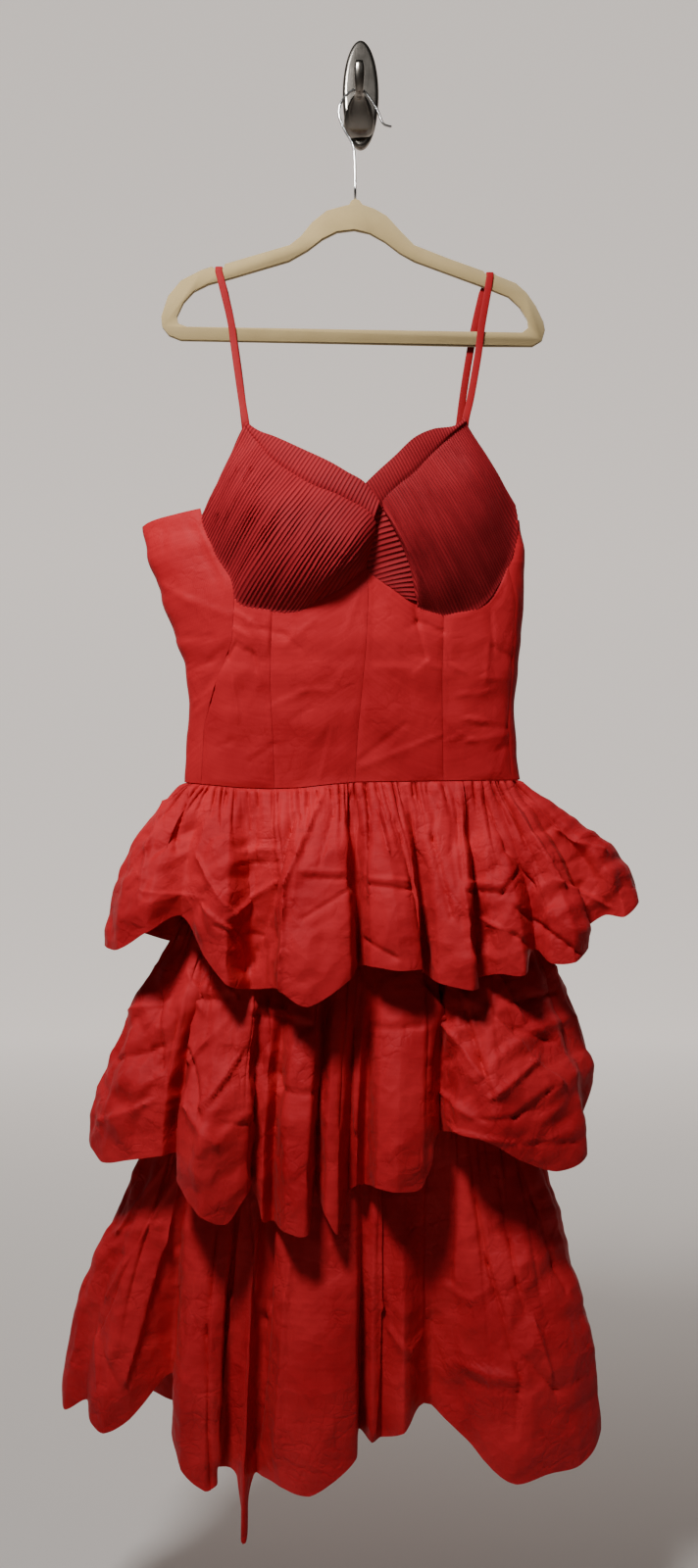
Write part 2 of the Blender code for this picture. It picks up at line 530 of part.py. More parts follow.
def add_wall_plate(material):
    """The oval plate against the wall, with a rounded front edge."""
    bm = bmesh.new()
    angles = [2 * math.pi * k / PLATE_SIDES for k in range(PLATE_SIDES)]
    loops = []
    for step in PLATE_PROFILE:
        inset = (1 - step.size) * PLATE_WIDTH / 2
        across = PLATE_WIDTH / 2 - inset
        up = PLATE_HEIGHT / 2 - inset
        depth = step.depth * PLATE_DEPTH
        loops.append([bm.verts.new((across * math.cos(angle), -depth, up * math.sin(angle)))
                      for angle in angles])
    for before, after in zip(loops, loops[1:]):
        for k in range(PLATE_SIDES):
            other = (k + 1) % PLATE_SIDES
            bm.faces.new((before[k], after[k], after[other], before[other]))
    bm.faces.new(loops[0])
    bm.faces.new(loops[-1][::-1])
    bmesh.ops.triangulate(bm, faces=bm.faces)
    add_piece("wall_plate", bm, material)


def add_hook_arm(material):
    """The arm: a broad root on the plate that narrows to a saddle and an upturned tip."""
    curve = spline(HOOK_ARM_PATH)
    steps = 2 * (len(HOOK_ARM_PATH) - 1)
    rows = [curve(step / 2) for step in range(steps + 1)]
    centres = [Vector((HOOK_ARM_X, row[0], row[1])) for row in rows]
    heading = directions(centres)
    heading[0] = Vector((0, -1, 0))
    angles = [2 * math.pi * k / ARM_SIDES for k in range(ARM_SIDES)]
    rings = []
    for (_, _, width, thickness), forward in zip(rows, heading):
        up = Vector((1, 0, 0)).cross(forward)
        rings.append([Vector((width / 2 * math.cos(angle), 0, 0)) + up * (thickness / 2 * math.sin(angle))
                      for angle in angles])
    sweep("wall_hook_arm", centres, rings, material)


def add_hanger_hook(material):
    """The hanger's bent wire, with rounded ends."""
    curve = spline([(spot.x, spot.z) for spot in HANGER_WIRE_PATH])
    steps = 2 * (len(HANGER_WIRE_PATH) - 1)
    centres = []
    for step in range(steps + 1):
        x, z = curve(step / 2)
        centres.append(Vector((x, HANGER_Y, z)))
    heading = directions(centres)
    radii = [WIRE_RADIUS] * len(centres)
    centres.insert(0, centres[0] - heading[0] * WIRE_RADIUS * WIRE_END_SHARE)
    heading.insert(0, heading[0])
    radii.insert(0, WIRE_RADIUS * WIRE_END_SHARE)
    angles = [2 * math.pi * k / WIRE_SIDES for k in range(WIRE_SIDES)]
    rings = []
    for forward, radius in zip(heading, radii):
        across = Vector((0, 1, 0)).cross(forward).normalized()
        rings.append([across * (radius * math.cos(angle)) + Vector((0, radius * math.sin(angle), 0))
                      for angle in angles])
    sweep("hanger_hook", centres, rings, material)


def inset_outline(outline, amount):
    """Move a clockwise outline inwards by an amount, corner by corner."""
    moved = []
    for index, spot in enumerate(outline):
        before = Vector(outline[index - 1])
        after = Vector(outline[(index + 1) % len(outline)])
        along = (after - before).normalized()
        moved.append(Vector(spot) + amount * Vector((along.y, -along.x)))
    return moved


def add_hanger_body(material):
    """The flat triangular hanger with rounded edges and strap steps."""
    half = HANGER_THICKNESS / 2
    flat = half - HANGER_BEVEL
    bm = bmesh.new()
    ends = {1: [], -1: []}
    for outline, inwards in ((HANGER_OUTSIDE, HANGER_BEVEL), (HANGER_INSIDE, -HANGER_BEVEL)):
        inset = inset_outline(outline, inwards)
        loops = []
        for shape, depth in ((inset, -half), (outline, -flat), (outline, flat), (inset, half)):
            loops.append([bm.verts.new((spot[0], HANGER_Y + depth, spot[1])) for spot in shape])
        for before, after in zip(loops, loops[1:]):
            for k in range(len(before)):
                other = (k + 1) % len(before)
                face = (before[k], after[k], after[other], before[other])
                bm.faces.new(face if inwards > 0 else face[::-1])
        for side, loop in ((-1, loops[0]), (1, loops[-1])):
            count = len(loop)
            ends[side].extend(bm.edges.get((loop[k], loop[(k + 1) % count])) for k in range(count))
    for edges in ends.values():
        bmesh.ops.triangle_fill(bm, use_beauty=True, edges=edges)
    bmesh.ops.recalc_face_normals(bm, faces=bm.faces)
    bmesh.ops.triangulate(bm, faces=bm.faces)
    add_piece("hanger_body", bm, material)


def add_strap(name, front, top, back, material):
    """A flat strap that passes over the hanger's step."""
    lift = STRAP_THICKNESS / 2 + SEAM_GAP
    reach = HANGER_THICKNESS / 2 + lift
    half_crest = [(reach, -CREST_DROP), (reach - CREST_EASE, CREST_RISE), (CREST_HALF, lift + CREST_EASE)]
    crest = [Spot(top.x, HANGER_Y - out, top.z + rise) for out, rise in half_crest]
    crest += [Spot(top.x, HANGER_Y + out, top.z + rise) for out, rise in reversed(half_crest)]
    route = spline(front)
    front_points = [route(step / 2) for step in range(2 * len(front) - 1)]
    route = spline(back)
    back_points = [route(step / 2) for step in range(2 * len(back) - 1)]
    centres = front_points + [Vector(spot) for spot in crest] + back_points
    rings = []
    for forward in directions(centres):
        across = (Vector((1, 0, 0)) - forward * forward.x).normalized() * (STRAP_WIDTH / 2)
        through = across.cross(forward).normalized() * (STRAP_THICKNESS / 2)
        rings.append([across + through, across - through, -across - through, through - across])
    sweep(name, centres, rings, material)


def pleat_relief(depth, end_share):
    """Raise every second column, less at the ends of the pleats."""
    def relief(column, v):
        if column % 2 == 0:
            return 0.0
        return depth * (end_share + (1 - end_share) * math.sin(math.pi * min(max(v, 0.0), 1.0)) ** 0.5)
    return relief


def add_cup(name, fold, foot, spread, material, inner=None):
    """A domed cup whose pleats run from the neckline fold to its foot."""
    top = even_spline(fold)
    bottom = even_spline(on_bodice(foot))
    side = even_spline(inner) if inner else None

    def surface(u, v):
        u = min(max(u, 0.0), 1.0)
        start = top(u)
        end = bottom(u ** spread)
        low = EDGE_GAP / max((end - start).length, 1.0)
        share = low + v * (1 - 2 * low)
        point = start.lerp(end, share)
        if side:
            bend = side(share) - top(1.0).lerp(bottom(1.0), share)
            point += bend * u ** 4
        point.y -= CUP_DOME * math.sin(math.pi * min(max(share, 0.0), 1.0)) * (1 - abs(2 * u - 1) ** 3)
        return point

    us = evenly(2 * CUP_PLEATS)
    cloth_wall(name, surface, us, evenly(CUP_ROWS), material,
               relief=pleat_relief(PLEAT_DEPTH, PLEAT_END_SHARE), inner_us=us[::2])


def add_band(name, neck, fold, material):
    """The narrow pleated band along one cup's neckline."""
    top = even_spline(neck)
    bottom = even_spline(fold)

    def surface(u, v):
        start = top(u)
        end = bottom(u)
        low = SEAM_GAP / max((end - start).length, 1.0)
        point = start.lerp(end, v * (1 - 2 * low))
        point.y -= BAND_DOME * math.sin(math.pi * min(max(v, 0.0), 1.0))
        return point

    us = [BAND_START + (1 - BAND_START) * u for u in evenly(2 * BAND_PLEATS)]
    cloth_wall(name, surface, us, evenly(2), material,
               relief=pleat_relief(BAND_PLEAT_DEPTH, BAND_PLEAT_END_SHARE), inner_us=us[::4])


def add_fan(material):
    """The small fan of pleats under the crossing of the bands."""
    start = even_spline(FAN_INNER)
    end = even_spline(FAN_OUTER)

    def surface(u, v):
        point = start(v).lerp(end(v), u)
        point.y -= FAN_DOME * math.sin(math.pi * min(max(u, 0.0), 1.0))
        return point

    vs = [FAN_START + FAN_LENGTH * v for v in evenly(2 * FAN_PLEATS)]
    bm = bmesh.new()
    outer = []
    inner = []
    for row, v in enumerate(vs):
        raised = FAN_PLEAT_DEPTH if row % 2 else 0.0
        normals = [face_normal(surface, u, v) for u in FAN_LEVELS]
        outer.append([bm.verts.new(surface(u, v) + raised * out) for u, out in zip(FAN_LEVELS, normals)])
        inner.append([bm.verts.new(surface(u, v) - CLOTH * out) for u, out in zip(FAN_LEVELS, normals)])
    add_skin(bm, outer, False)
    add_skin(bm, inner, True)
    for strip in ((outer[0], inner[0]), (inner[-1], outer[-1])):
        zip_faces(bm, list(zip(FAN_LEVELS, strip[0])), list(zip(FAN_LEVELS, strip[1])))
    for column in (0, -1):
        pair = [[(v, row[column]) for v, row in zip(vs, skin)] for skin in (inner, outer)]
        zip_faces(bm, *(pair if column == 0 else pair[::-1]))
    add_piece("centre_fan", bm, material)


def front_top_z(left_seam, right_seam, u):
    """Return the height of a front panel's top edge at a share of its width."""
    z = FRONT_TOP_MIDDLE_Z
    for _ in range(FRONT_TOP_ROUNDS):
        x = lookup(left_seam, z) + u * (lookup(right_seam, z) - lookup(left_seam, z))
        z = lookup(FRONT_TOP_EDGE, x) - EDGE_GAP
    return z


def add_front_panel(name, left_seam, right_seam, columns, material):
    """A front panel between two seams, from the cups down to the waist."""
    def surface(u, v):
        top = front_top_z(left_seam, right_seam, u)
        low = seam_phi(left_seam, WAIST_LOOKUP_Z)
        high = seam_phi(right_seam, WAIST_LOOKUP_Z)
        floor = waist_z(low + u * (high - low)) + SEAM_GAP / 2
        height = top + v * (floor - top)
        first = seam_phi(left_seam, height)
        second = seam_phi(right_seam, height)
        return ring_point(BODICE_RINGS, first + u * (second - first), height)

    margin = SEAM_GAP / 2 / FRONT_PANEL_WIDTH
    us = [margin + u * (1 - 2 * margin) for u in evenly(columns)]
    cloth_wall(name, surface, us, evenly(FRONT_ROWS), material)


def add_back_panel(name, seam, top_edge, join_z, clockwise, material):
    """A back half that runs from the side seam round the side to the centre back.

    Below join_z, where the side seam starts, its rows meet those of the front panel.
    """
    end = CENTRE_BACK_PHI if clockwise else CENTRE_BACK_PHI - 4
    upper_share = BACK_UPPER_ROWS / (BACK_UPPER_ROWS + FRONT_ROWS)

    def surface(u, v):
        share = u if clockwise else 1 - u
        top = lookup(top_edge, share)
        start = seam_phi(seam, WAIST_LOOKUP_Z)
        floor = waist_z((start + share * (end - start)) % 4) + SEAM_GAP / 2
        if v < upper_share:
            height = top + v / upper_share * (join_z - top)
        else:
            height = join_z + (v - upper_share) / (1 - upper_share) * (floor - join_z)
        start = seam_phi(seam, height)
        return ring_point(BODICE_RINGS, (start + share * (end - start)) % 4, height)

    margin = SEAM_GAP / 2 / BACK_PANEL_WIDTH
    us = [margin + (1 - 2 * margin) * u for u in evenly(BACK_COLUMNS)]
    cloth_wall(name, surface, us, evenly(BACK_UPPER_ROWS + FRONT_ROWS), material)


def underskirt_point(phi, z):
    """Return a point of the underskirt's outer face, just inside the bodice at the waist."""
    def waist_place(angle):
        return ring_point(BODICE_RINGS, angle, max(z, WAIST_LOOKUP_Z))

    upper = waist_place(phi) - (CLOTH + TIER_SEAM_GAP) * plan_normal(waist_place, phi)
    lower = ring_point(UNDERSKIRT_RINGS, phi, z)
    part = min(max((WAIST_LOOKUP_Z - z) / (WAIST_LOOKUP_Z - TIER2_SEAM_Z), 0.0), 1.0)
    point = upper.lerp(lower, part * part * (3 - 2 * part))
    return Vector((point.x, point.y, z))


def tier_seam(z):
    """Return a tier's top edge, which lies on the underskirt at height z, as a function of phi."""
    def place(phi):
        return underskirt_point(phi, z)

    return lambda phi: place(phi) + (CLOTH + TIER_SEAM_GAP) * plan_normal(place, phi)


def add_underskirt(name, first_phi, last_phi, material):
    """One half of the plain tube that carries the lower tiers."""
    def surface(u, v):
        phi = first_phi + u * (last_phi - first_phi)
        top = waist_z(phi) + UNDERSKIRT_LAP
        z = top + v * (UNDERSKIRT_FOOT_Z - top)
        return underskirt_point(phi % 4, z)

    margin = SEAM_GAP / 2 / UNDERSKIRT_WIDTH
    us = [margin + (1 - 2 * margin) * u for u in evenly(UNDERSKIRT_COLUMNS)]
    cloth_wall(name, surface, us, evenly(UNDERSKIRT_ROWS), material)


def tier_loop(front, back):
    """Return a smooth closed curve through a tier's rows: phi at the top, and the hem."""
    rows = [(phi_of_share(wave.share), wave.x, wave.y, wave.z) for wave in front]
    rows += [(4 - phi_of_share(wave.share), wave.x, wave.y, wave.z) for wave in back]
    count = len(rows)
    turn = Vector((4.0, 0.0, 0.0, 0.0))
    points = [Vector(row) for row in rows]

    def pick(index):
        laps, place = divmod(index, count)
        return points[place] + laps * turn

    def at(place):
        start = math.floor(place)
        return curve_between(*(pick(start + step) for step in (-1, 0, 1, 2)), place - start)

    return at


def phi_of_share(percent):
    """Return the front phi at a share of the tier's width, given in percent."""
    return 2 * (1 - math.acos(percent / 50 - 1) / math.pi)


def add_tier(number, front, back, seam, flare, material):
    """A gathered tier in two halves. seam(phi) gives its top edge."""
    loop = tier_loop(front, back)
    count = len(front) + len(back)
    front_share = (len(front) - 1) / count

    def surface(u, v):
        phi, x, y, z = loop(u * count)
        top = seam(phi % 4)
        across = 0.5 * (1 - math.cos(math.pi * (phi % 4) / 2))
        power = flare.right + across * (flare.left - flare.right)
        swing = math.sin(math.pi / 2 * min(max(v, 0.0), 1.0)) ** power
        point = Vector((top.x + swing * (x - top.x), top.y + swing * (y - top.y), top.z + v * (z - top.z)))
        gather = math.exp(-(v / GATHER_LEVEL - 1) ** 2) if v > GATHER_START else 0.0
        ripple = 0.5 + 0.5 * math.sin(2 * math.pi * WAIST_GATHERS * across)
        out = 1.0 if phi % 4 < 2 else -1.0
        point.y -= out * GATHER_DEPTH * gather * ripple * math.sin(math.pi * (phi % 2) / 2)
        return point

    seam_share = SEAM_GAP / TIER_HEM_ROUND
    halves = {"front": (0.0, front_share, COLUMNS_PER_WAVE * (len(front) - 1)),
              "back": (front_share, 1.0, COLUMNS_PER_WAVE * (len(back) + 1))}
    for half, (start, end, columns) in halves.items():
        us = [start + seam_share + (end - start - 2 * seam_share) * u for u in evenly(columns)]
        cloth_wall(f"tier{number}_{half}", surface, us, TIER_LEVELS, material)


def waist_seam(phi):
    """Return the first tier's top edge, just under the bodice."""
    return ring_point(BODICE_RINGS, phi, waist_z(phi) - WAIST_GAP)


def main():
    """Build every piece."""
    for old in list(bpy.data.objects):
        bpy.data.objects.remove(old)
    cloth = new_material("red_taffeta", CLOTH_RED, 0.45)
    cup_cloth = new_material("pleated_red", CUP_RED, 0.5)
    flock = new_material("beige_flock", FLOCK_BEIGE, 0.95)
    wire = new_material("chrome_wire", CHROME, 0.15, 1.0)
    nickel = new_material("brushed_nickel", NICKEL, 0.28, 1.0)

    add_wall_plate(nickel)
    add_hook_arm(nickel)
    add_hanger_hook(wire)
    add_hanger_body(flock)
    add_strap("strap_right", STRAP_RIGHT_FRONT, STRAP_RIGHT_TOP, STRAP_RIGHT_BACK, cloth)
    add_strap("strap_left", STRAP_LEFT_FRONT, STRAP_LEFT_TOP, STRAP_LEFT_BACK, cloth)
    add_cup("cup_right", FOLD_RIGHT, CUP_FOOT_RIGHT, CUP_SPREAD_RIGHT, cup_cloth)
    add_cup("cup_left", FOLD_LEFT, CUP_FOOT_LEFT, CUP_SPREAD_LEFT, cup_cloth, CUP_INNER_LEFT)
    add_band("cup_band_right", NECK_RIGHT, FOLD_RIGHT, cup_cloth)
    add_band("cup_band_left", NECK_LEFT, FOLD_LEFT, cup_cloth)
    add_fan(cup_cloth)
    add_front_panel("front_side_right", SIDE_SEAM_RIGHT, PRINCESS_RIGHT, 4, cloth)
    add_front_panel("front_centre_right", PRINCESS_RIGHT, CENTRE_FRONT, 6, cloth)
    add_front_panel("front_centre_left", CENTRE_FRONT, PRINCESS_LEFT, 6, cloth)
    add_front_panel("front_side_left", PRINCESS_LEFT, SIDE_SEAM_LEFT, 5, cloth)
    join = front_top_z(SIDE_SEAM_RIGHT, PRINCESS_RIGHT, 0.0)
    add_back_panel("back_right", SIDE_SEAM_RIGHT, BACK_TOP_RIGHT, join, False, cloth)
    join = front_top_z(PRINCESS_LEFT, SIDE_SEAM_LEFT, 1.0)
    add_back_panel("back_left", SIDE_SEAM_LEFT, BACK_TOP_LEFT, join, True, cloth)
    add_underskirt("underskirt_front", 0.0, 2.0, cloth)
    add_underskirt("underskirt_back", 2.0, 4.0, cloth)
    add_tier(1, TIER1_FRONT, TIER1_BACK, waist_seam, TIER1_FLARE, cloth)
    add_tier(2, TIER2_FRONT, TIER2_BACK, tier_seam(TIER2_SEAM_Z), TIER2_FLARE, cloth)
    add_tier(3, TIER3_FRONT, TIER3_BACK, tier_seam(TIER3_SEAM_Z), TIER3_FLARE, cloth)


if __name__ == "__main__":
    main()
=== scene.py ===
"""The looks of a tiered cocktail dress that hangs on a flocked hanger from a wall hook.

Tables and sizes are in millimetres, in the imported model's frame: the wall is the plane y = 0, the
origin is the middle of the wall plate's back face, the wearer faces -Y and the wearer's left is +X.
Meshes are made in metres. A cloth piece is a grid of points, rows from its top edge down and columns
to the viewer's right seen from outside, and each piece keeps the form of the solid it stands for.
"""
import logging
import math
from dataclasses import dataclass
from enum import Enum
from typing import Callable, NamedTuple, Sequence

import bmesh
import bpy
import numpy as np
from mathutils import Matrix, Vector

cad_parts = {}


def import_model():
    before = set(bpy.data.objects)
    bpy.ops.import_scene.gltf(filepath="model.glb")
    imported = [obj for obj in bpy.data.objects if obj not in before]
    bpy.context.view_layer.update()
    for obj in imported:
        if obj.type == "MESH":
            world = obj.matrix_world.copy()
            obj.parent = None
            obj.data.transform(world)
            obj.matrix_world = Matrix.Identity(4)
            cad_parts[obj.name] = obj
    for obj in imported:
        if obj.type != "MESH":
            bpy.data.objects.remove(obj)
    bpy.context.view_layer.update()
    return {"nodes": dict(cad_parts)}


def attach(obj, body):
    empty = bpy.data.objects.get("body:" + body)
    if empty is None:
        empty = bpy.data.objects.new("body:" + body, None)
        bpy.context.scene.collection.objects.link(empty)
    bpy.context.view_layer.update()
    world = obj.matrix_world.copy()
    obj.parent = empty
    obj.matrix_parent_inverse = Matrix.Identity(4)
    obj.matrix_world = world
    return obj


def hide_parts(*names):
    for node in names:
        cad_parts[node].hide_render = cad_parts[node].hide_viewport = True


MM = 0.001
LOG = logging.getLogger("cocktail_dress")

Grid = np.ndarray
Numbers = np.ndarray
Colour = tuple[float, float, float]


class Held(Enum):
    """How a sheet of cloth is held."""

    GATHERED = "gathered"
    HUNG = "hung"
    STRETCHED = "stretched"


class Slot(Enum):
    """The record's material slots."""

    CLOTH = "cloth"
    CUP_CLOTH = "cup_cloth"
    FLOCK = "flock"
    NICKEL = "nickel"
    WIRE = "wire"


class Spot(NamedTuple):
    """A place in the frame."""

    x: float
    y: float
    z: float


class EdgeSpot(NamedTuple):
    """A place on an edge, seen from the front."""

    x: float
    z: float


class SeamSpot(NamedTuple):
    """Where a seam stands at one height."""

    z: float
    x: float


class BackSpot(NamedTuple):
    """The back's top edge at a share of the way from the side seam to the centre back."""

    share: float
    z: float


class Ring(NamedTuple):
    """The bodice or underskirt in plan at one height: its middle, half width and depths."""

    z: float
    middle: float
    half: float
    front: float
    back: float


class Wave(NamedTuple):
    """One wave of a tier: where it starts along the top, in percent, and its hem."""

    share: float
    x: float
    y: float
    z: float


class Crease(NamedTuple):
    """A fold line seen from the front: its two ends, its width, and its height or, below 0, depth."""

    x1: float
    z1: float
    x2: float
    z2: float
    width: float
    height: float


class Pleating(NamedTuple):
    """Where a cup's pleats begin and end: shares of the pleats, the upper run and the foot."""

    pleats: float
    upper: float
    foot: float


class Rumple(NamedTuple):
    """How crumpled a tier is at one place across it."""

    x: float
    share: float


class Flare(NamedTuple):
    """How fast a tier swings out below its seam, at the wearer's right and left."""

    right: float
    left: float


def table(kind: type, rows: Sequence[tuple]) -> tuple:
    """Return the rows of a table, each with the named columns of its kind."""
    return tuple(kind(*row) for row in rows)


BODICE_RINGS = table(Ring, (
    (-505, -36, 219, 26, 20), (-530, -35, 220, 29, 20), (-560, -29, 220, 36, 20),
    (-612, -20, 212, 44, 20), (-660, -15, 202, 44, 19), (-693, -11, 195, 41, 18),
    (-740, -11, 190, 36, 17), (-790, -11, 193, 32, 16), (-835, -10, 196, 30, 14),
))
UNDERSKIRT_RINGS = table(Ring, (
    (-985, -5, 204, 33, 10), (-1205, -19, 214, 38, 8),
))
RING_Y = -45.0
RING_FULLNESS = 0.7
RING_REACH = 0.9995
# Phi runs round a plan ring: over the front up to HALF_TURN and over the back up to FULL_TURN.
HALF_TURN = 2.0
CENTRE_BACK_PHI = 3.0
FULL_TURN = 4.0
LEAST_LENGTH = 1e-9
# The pleat attribute below holds each point's crest height, from which the pleated cloth paints shade in
# the pleats' hollows and light on their crests.
PLEAT_CREST_SHADE = "pleat_crest_shade"

SIDE_SEAM_RIGHT = table(SeamSpot, (
    (-505, -186), (-530, -180), (-560, -166), (-597, -147.5), (-612, -144.5), (-633, -145),
    (-666, -147), (-711, -166), (-762, -181), (-835, -185),
))
PRINCESS_RIGHT = table(SeamSpot, (
    (-625, -101), (-709, -104), (-835, -99),
))
CENTRE_FRONT = table(SeamSpot, (
    (-580, 6), (-618, 8), (-678, 5), (-727, 0), (-782, -5), (-835, -8),
))
PRINCESS_LEFT = table(SeamSpot, (
    (-630, 93.5), (-709, 92), (-835, 94),
))
SIDE_SEAM_LEFT = table(SeamSpot, (
    (-505, 178), (-522, 181), (-556, 175.5), (-578, 168.5), (-615, 178), (-688, 175), (-759, 170),
    (-835, 175),
))
FRONT_TOP_EDGE = table(EdgeSpot, (
    (-146, -617.5), (-131, -626), (-101, -632), (-69, -632), (-53, -624), (-21, -606), (6, -584),
    (14, -593), (32, -606.5), (51, -620.3), (64, -629), (94, -637.8), (113, -634.8), (137, -623.8),
    (153, -602.8), (168, -579),
))
BACK_TOP_RIGHT = table(BackSpot, (
    (0.0, -512), (0.1, -519), (0.28, -529), (0.5, -535), (1.0, -548),
))
BACK_TOP_LEFT = table(BackSpot, (
    (0.0, -523), (0.1, -521), (0.2, -523), (0.5, -533), (1.0, -548),
))
WAIST_FRONT = table(EdgeSpot, (
    (-206, -827), (-184, -829), (-140, -833), (-105, -834.3), (-70, -833), (-38, -829.5), (-6, -826.5),
    (102, -825), (186, -824),
))
WAIST_LOOKUP_Z = -830.0
SEAM_GAP = 0.3
UNDERSKIRT_HIP_Z = -985.0
UNDERSKIRT_FOOT_Z = -1203.0
UNDERSKIRT_LAP = 5.0
LAYER_STEP = 1.9

NECK_RIGHT = table(Spot, (
    (-132, -71, -414), (-117, -78, -426), (-96, -86, -436), (-66, -95, -452), (-37, -101, -467),
    (-16, -104, -480), (3, -106, -492), (20.5, -106.5, -514),
))
FOLD_RIGHT = table(Spot, (
    (-134, -72, -418), (-121, -80, -438), (-101, -92, -464), (-58, -104, -494), (-21, -107, -511),
    (14, -107, -534),
))
NECK_LEFT = table(Spot, (
    (118.5, -71, -410), (105, -77, -421), (81, -86, -427), (59, -93, -439), (38, -98, -460),
    (19, -101, -478), (7, -102.5, -490),
))
FOLD_LEFT = table(Spot, (
    (120, -72, -415), (103, -80, -431), (70, -93, -468), (43, -100, -493), (25, -103, -514),
))
NECK_LEFT_UNDER = table(Spot, (
    (-2, -100.5, -499),
))
FOLD_LEFT_UNDER = table(Spot, (
    (13, -100.5, -527),
))
CUP_INNER_LEFT = table(Spot, (
    (25, -103, -514), (40, -100.5, -549), (53, -96.5, -581), (61, -90, -613), (64, -86.5, -628),
))
FAN_INNER = table(Spot, (
    (10.5, -97, -514), (8.5, -96, -549), (4.5, -85.5, -580), (13.0, -85.5, -593.5), (32, -88, -606),
    (51, -87.5, -620),
))
FAN_OUTER = table(Spot, (
    (27, -99, -510), (44, -97, -545), (56.5, -93, -576), (63.5, -88.5, -602), (65, -86, -625),
))
CUP_FOOT_RIGHT = table(EdgeSpot, (
    (-181.5, -516), (-183, -530), (-168, -559), (-147.5, -593), (-143, -616), (-131, -625),
    (-101, -631), (-69, -631), (-53, -623), (-21, -605), (6, -583),
))
CUP_CENTRE_RIGHT = Spot(6, -88, -583)
PLEATING_RIGHT = table(Pleating, (
    (0, 0, 0), (0.4, 0.36, 0.29), (0.85, 0.795, 0.72), (1, 1, 1),
))
CUP_FOOT_LEFT = table(EdgeSpot, (
    (176, -500), (179, -522), (173.5, -556), (166.5, -578), (153, -602), (146, -613), (136, -623),
    (124, -630.5), (110, -635), (94, -637), (64, -628),
))
PLEATING_LEFT = table(Pleating, (
    (0, 0, 0), (0.17, 0.105, 0.27), (0.42, 0.27, 0.50), (0.83, 0.53, 0.87), (1, 1, 1),
))

HANGER_Y = -45.0
HANGER_THICKNESS = 5.5
STRAP_RIGHT_FRONT = table(Spot, (
    (-131.0, -69.4, -424.0), (-133.0, -69.2, -411.0), (-137.5, -62.0, -385.0), (-147.0, -51.5, -322.0),
    (-151.5, -49.6, -290.0), (-161.0, -49.0, -250.0),
))
STRAP_RIGHT_TOP = Spot(-165.7, HANGER_Y, -227.4)
STRAP_RIGHT_BACK = table(Spot, (
    (-159.0, -40.6, -255.0), (-150.0, -40.2, -300.0), (-138.0, -37.5, -390.0), (-124.0, -29.4, -530.0),
    (-122.0, -29.0, -554.0),
))
STRAP_LEFT_FRONT = table(Spot, (
    (118.5, -69.4, -420.0), (120.5, -69.2, -407.0), (126.5, -62.0, -382.0), (136.0, -51.5, -330.0),
    (140.0, -49.6, -298.0), (147.0, -49.0, -258.0),
))
STRAP_LEFT_TOP = Spot(150.2, HANGER_Y, -233.9)
STRAP_LEFT_BACK = table(Spot, (
    (142.0, -40.6, -255.0), (131.0, -40.2, -305.0), (117.0, -37.5, -395.0), (103.0, -31.0, -530.0),
    (101.0, -30.6, -554.0),
))

TIER1_FRONT = table(Wave, (
    (0.3, -284, -58, -1008), (1.2, -294, -78, -1013), (3.0, -272, -106, -1014), (5.2, -236, -124, -992),
    (8.0, -201, -104, -976), (10.3, -175, -120, -1016), (14.4, -147, -138, -1048),
    (18.4, -124, -104, -1058), (25.9, -98, -122, -1054), (29.9, -89, -148, -1054),
    (39.1, -57, -157, -1068), (47.1, -12, -146, -1040), (50.0, -4, -104, -1032),
    (52.3, 10, -136, -1028), (56.9, 40, -148, -1031), (62.1, 68, -140, -1031), (65.5, 69, -104, -1040),
    (70.7, 84, -136, -1046), (81.0, 119, -146, -1052), (83.5, 127, -106, -1046),
    (86.0, 150, -124, -1038), (88.5, 178, -130, -1038), (90.5, 193, -106, -1014),
    (92.3, 210, -126, -1026), (94.0, 234, -132, -1024), (95.5, 251, -114, -1011),
    (96.8, 252, -86, -994), (97.9, 276, -82, -978), (98.7, 297, -92, -979), (99.3, 316, -76, -964),
    (99.75, 318, -56, -955),
))
TIER1_BACK = table(Wave, (
    (99.5, 300, -32, -966), (97.0, 262, -14, -990), (93.0, 222, -22, -1012), (87.0, 186, -8, -1028),
    (80.0, 148, -22, -1034), (72.0, 110, -7, -1040), (64.0, 66, -20, -1026), (55.0, 30, -7, -1036),
    (47.0, -18, -22, -1024), (38.0, -60, -8, -1042), (29.0, -100, -21, -1030), (20.0, -148, -7, -1044),
    (12.0, -190, -22, -1020), (6.0, -232, -9, -1016), (2.5, -266, -24, -1004), (0.6, -282, -38, -1006),
))
TIER2_FRONT = table(Wave, (
    (0.3, -300, -52, -1238), (1.1, -312, -74, -1236), (2.5, -292, -102, -1252),
    (4.5, -256, -122, -1244), (7.5, -219, -126, -1238), (10.3, -204, -104, -1242),
    (12.0, -201, -132, -1264), (15.5, -172, -158, -1293), (20.0, -145, -152, -1303),
    (23.0, -125, -138, -1276), (25.2, -124, -106, -1272), (28.8, -110, -122, -1310),
    (31.3, -99, -106, -1316), (34.5, -84, -146, -1314), (40.5, -60, -152, -1315),
    (43.7, -52, -108, -1288), (45.8, -38, -138, -1298), (48.8, -26, -142, -1318),
    (51.2, -15, -106, -1286), (53.4, -6, -121, -1272), (55.6, 4, -107, -1275), (58.4, 16, -145, -1266),
    (63.7, 38, -158, -1267), (68.8, 66, -149, -1265), (71.9, 80, -126, -1224), (74.0, 88, -104, -1217),
    (77.5, 103, -143, -1208), (83.7, 138, -160, -1214), (88.5, 170, -156, -1233),
    (92.5, 212, -141, -1250), (95.5, 249, -116, -1240), (97.6, 250, -88, -1206),
    (98.9, 266, -68, -1172), (99.7, 264, -52, -1168),
))
